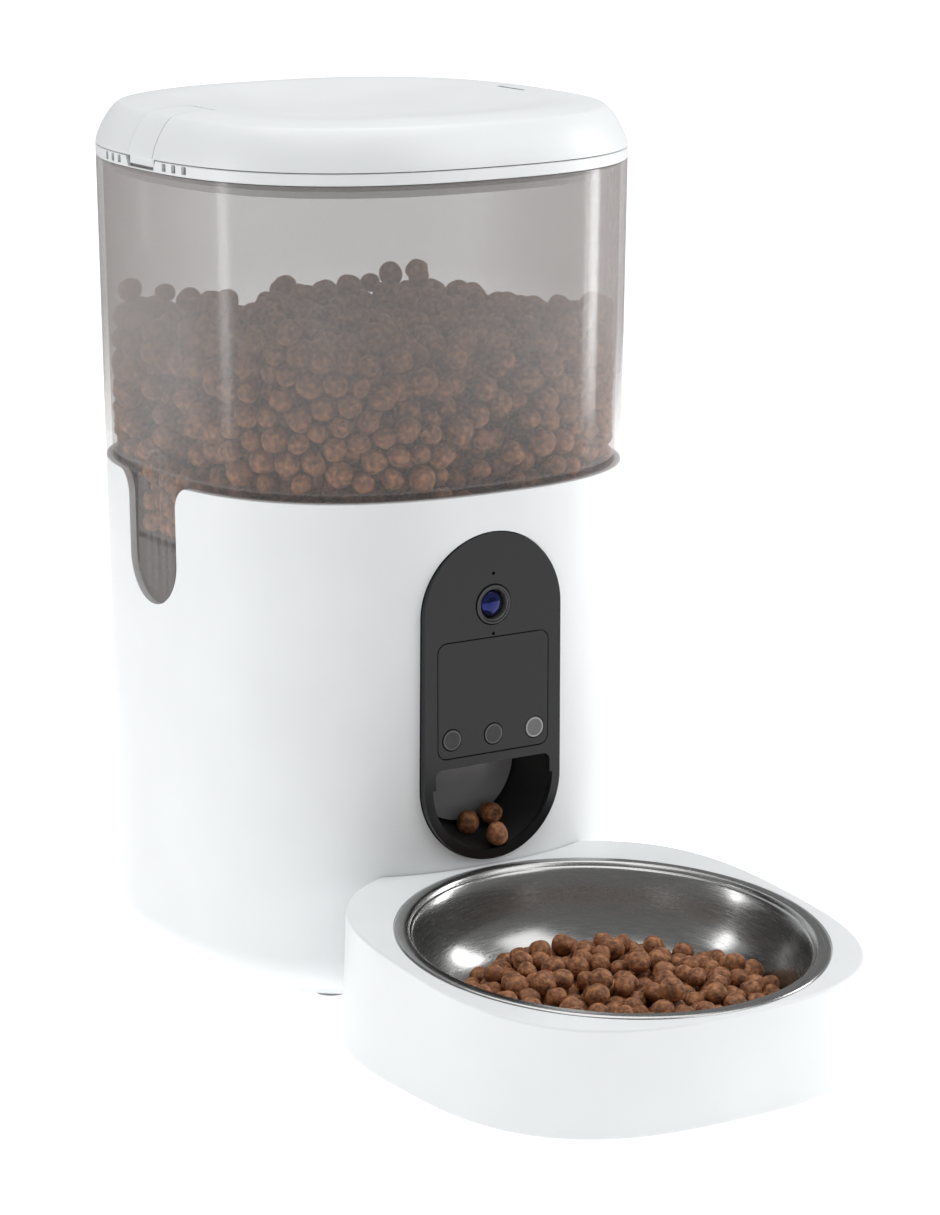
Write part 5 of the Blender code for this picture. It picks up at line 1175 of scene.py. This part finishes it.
def bowl_spread(draw, count):
    angle = draw.uniform(0, 2 * math.pi, count)
    reach = np.sqrt(draw.uniform(0, 1, count))
    x = HEAP_CENTRE[0] + HEAP_SIZE[0] * reach * np.cos(angle)
    y = HEAP_CENTRE[1] + HEAP_SIZE[1] * reach * np.sin(angle)
    z = draw.uniform(-BOWL_DEPTH + 0.004, -BOWL_DEPTH + 0.004 + HEAP_SIZE[2] * (1 - reach ** 2))
    return bowl_clamp(np.stack([x, y, z], 1), np.full(count, BOWL_GRAIN))


def window_grains(side):
    """The grains that lie in a side window's pocket."""
    face = tank_under()
    deep = face - TONGUE_DEPTH + 2 * TANK_WALL
    half = TONGUE_HALF - TANK_WALL

    def clamp(points, radii):
        x = side * np.clip(side * points[:, 0], deep + radii, face - radii)
        y = np.clip(points[:, 1], -half + radii, half - radii)
        z = np.clip(points[:, 2], POCKET_FLOOR_Z + radii, SEAM_Z)
        return np.stack([x, y, z], 1)

    def spread(draw, count):
        low = (min(side * deep, side * face), -half, POCKET_FLOOR_Z)
        high = (max(side * deep, side * face), half, SEAM_Z)
        return clamp(draw.uniform(low, high, (count, 3)), np.full(count, GRAIN_RADIUS))

    return settle_grains(clamp, spread, 18, GRAIN_RADIUS * 0.93, 40 + side, 40)


def build_food(material):
    points, radii = settle_grains(hopper_clamp, hopper_spread, HOPPER_GRAINS, GRAIN_RADIUS, 7, 60)
    wall = half_at(points[:, 2]) - TANK_WALL
    norm = (np.abs(points[:, :2]) ** SECTION_POWER).sum(1) ** (1 / SECTION_POWER)
    near = (norm > wall - 3.2 * GRAIN_RADIUS) | (points[:, 2] > np.percentile(points[:, 2], 82))
    for name, part, detail, seed in (("hopper_food", near, 3, 1), ("hopper_food_core", ~near, 1, 2)):
        lay_food(grain_mesh(name, points[part], radii[part], detail, seed), "hopper", material)
    for side, name in ((-1, "left"), (1, "right")):
        points, radii = window_grains(side)
        lay_food(grain_mesh(f"window_food_{name}", points, radii, 3, 3), "hopper", material)
    points, radii = settle_grains(bowl_clamp, bowl_spread, BOWL_GRAINS, BOWL_GRAIN, 9, 90, 0.0002)
    lay_food(grain_mesh("bowl_food", points, radii, 3, 4), "bowl", material, bowl_place(), TRAY_TILT)
    loose = np.array([(-0.0015, -0.0780, 0.0648), (0.0089, -0.0778, 0.0667), (0.0035, -0.0905, 0.0623)])
    lay_food(grain_mesh("chute_food", loose, np.full(3, 0.0046), 3, 5), "root", material)


# ---------------------------------------------------------------- scene

def build_floor(material):
    bm = bmesh.new()
    bmesh.ops.create_grid(bm, x_segments=1, y_segments=1, size=FLOOR_HALF)
    mesh = bpy.data.meshes.new("floor")
    bm.to_mesh(mesh)
    bm.free()
    mesh.materials.append(material)
    place("floor", mesh, (0, 0, 0))


def build_camera_view():
    data = bpy.data.cameras.new("camera")
    data.lens = 118.213
    data.sensor_width = 36
    data.clip_start, data.clip_end = 0.05, 30
    camera = bpy.data.objects.new("camera", data)
    camera.location = (-0.78475, -1.22192, 0.48674)
    camera.rotation_euler = (math.radians(90 - 13.122), 0, math.radians(-32.651))
    bpy.context.scene.collection.objects.link(camera)
    bpy.context.scene.camera = camera


def area_light(name, place_at, target, size, power):
    data = bpy.data.lights.new(name, "AREA")
    data.shape = "RECTANGLE"
    data.size, data.size_y = size
    data.energy = power
    light = bpy.data.objects.new(name, data)
    light.location = place_at
    light.rotation_euler = (Vector(target) - Vector(place_at)).to_track_quat("-Z", "Y").to_euler()
    bpy.context.scene.collection.objects.link(light)


def build_lights():
    world = bpy.data.worlds.new("studio")
    world.use_nodes = True
    tree = world.node_tree
    background = tree.nodes["Background"]
    background.inputs["Color"].default_value = (1, 1, 1, 1)
    background.inputs["Strength"].default_value = 0.30
    bright = tree.nodes.new("ShaderNodeBackground")
    bright.inputs["Color"].default_value = (1, 1, 1, 1)
    bright.inputs["Strength"].default_value = 1.2
    path = tree.nodes.new("ShaderNodeLightPath")
    mix = tree.nodes.new("ShaderNodeMixShader")
    tree.links.new(path.outputs["Is Camera Ray"], mix.inputs[0])
    tree.links.new(background.outputs[0], mix.inputs[1])
    tree.links.new(bright.outputs[0], mix.inputs[2])
    tree.links.new(mix.outputs[0], tree.nodes["World Output"].inputs["Surface"])
    bpy.context.scene.world = world
    middle = (0, BODY_Y, 0.16)
    area_light("strip_left", (-1.45, BODY_Y + 0.39, 0.42), middle, (0.16, 1.3), 5.5)
    area_light("strip_right", (1.45, BODY_Y - 0.37, 0.42), middle, (0.20, 1.3), 11)
    area_light("key", (0.75, -1.15, 1.35), middle, (0.9, 0.9), 6)
    area_light("top", (0.0, 0.1, 1.7), middle, (1.6, 1.6), 19)
    bpy.context.scene.view_settings.view_transform = "Standard"
    bpy.context.scene.view_settings.look = "None"


def finish_cad_nodes(materials):
    """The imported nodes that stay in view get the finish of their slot."""
    for slot, names in NODE_SLOTS.items():
        for name in names:
            mesh = frame["nodes"][name].data
            mesh.materials.clear()
            mesh.materials.append(materials[slot])


def main():
    white = moulded("white_moulded", (0.78, 0.80, 0.81), 0.38)
    inner = moulded("inner_moulded", (0.72, 0.73, 0.74), 0.45)
    smoke = smoke_tank("smoke_clear")
    flap = smoke_flap("smoke_flap")
    gloss = moulded("piano_black", (0.010, 0.010, 0.011), 0.16, grain=900, relief=0.000004, strength=0.08,
                    Specular_IOR_Level=0.30)
    black = moulded("black_moulded", (0.016, 0.016, 0.016), 0.42)
    grey = moulded("grey_moulded", (0.30, 0.31, 0.32), 0.5)
    rubber = moulded("rubber_grey", (0.22, 0.22, 0.225), 0.8, grain=1800)
    silicone = moulded("silicone_pale", (0.62, 0.63, 0.64), 0.6)
    steel = brushed("steel_brushed", (0.35, 0.35, 0.345), 0.24)
    pins = brushed("steel_drawn", (0.60, 0.60, 0.58), 0.30, "line")
    brass = brushed("brass_turned", (0.70, 0.50, 0.22), 0.32)
    motor = moulded("motor_can", (0.03, 0.03, 0.03), 0.35, Metallic=0.6)
    cell = moulded("cell_sleeve", (0.05, 0.10, 0.22), 0.35)
    board = board_finish("board_green")
    dark_key = button_face("key_dark", (0.016, 0.016, 0.016), (0.10, 0.10, 0.10))
    grey_key = button_face("key_grey", (0.13, 0.13, 0.135), (0.42, 0.42, 0.42))
    bezel = moulded("bezel_black", (0.012, 0.012, 0.012), 0.22, grain=900, strength=0.05)
    olive = moulded("cone_olive", (0.085, 0.085, 0.078), 0.30)
    glass = lens_glass_painted_reflection("coated_glass_painted_reflection")
    finish_cad_nodes({"white_plastic": white, "inner_white": inner, "black_plastic": black,
                      "grey_plastic": grey, "grey_rubber": rubber, "rotor_silicone": silicone,
                      "steel": pins, "brass": brass, "circuit_board": board, "motor_metal": motor,
                      "cell_wrap": cell})
    build_housing(white)
    build_plinth(white)
    build_feet(rubber)
    build_panel(gloss)
    build_buttons(dark_key, grey_key)
    build_camera(bezel, olive, glass)
    build_chute(black)
    build_flap(flap)
    build_tank(smoke)
    build_funnel(smoke)
    build_window_ribs(smoke)
    build_rim(white)
    build_lid(white)
    build_latches(white)
    build_tray(white)
    build_bowl(steel)
    build_food(kibble_finish("baked_food"))
    build_floor(floor_finish("studio_floor"))
    build_camera_view()
    build_lights()


main()
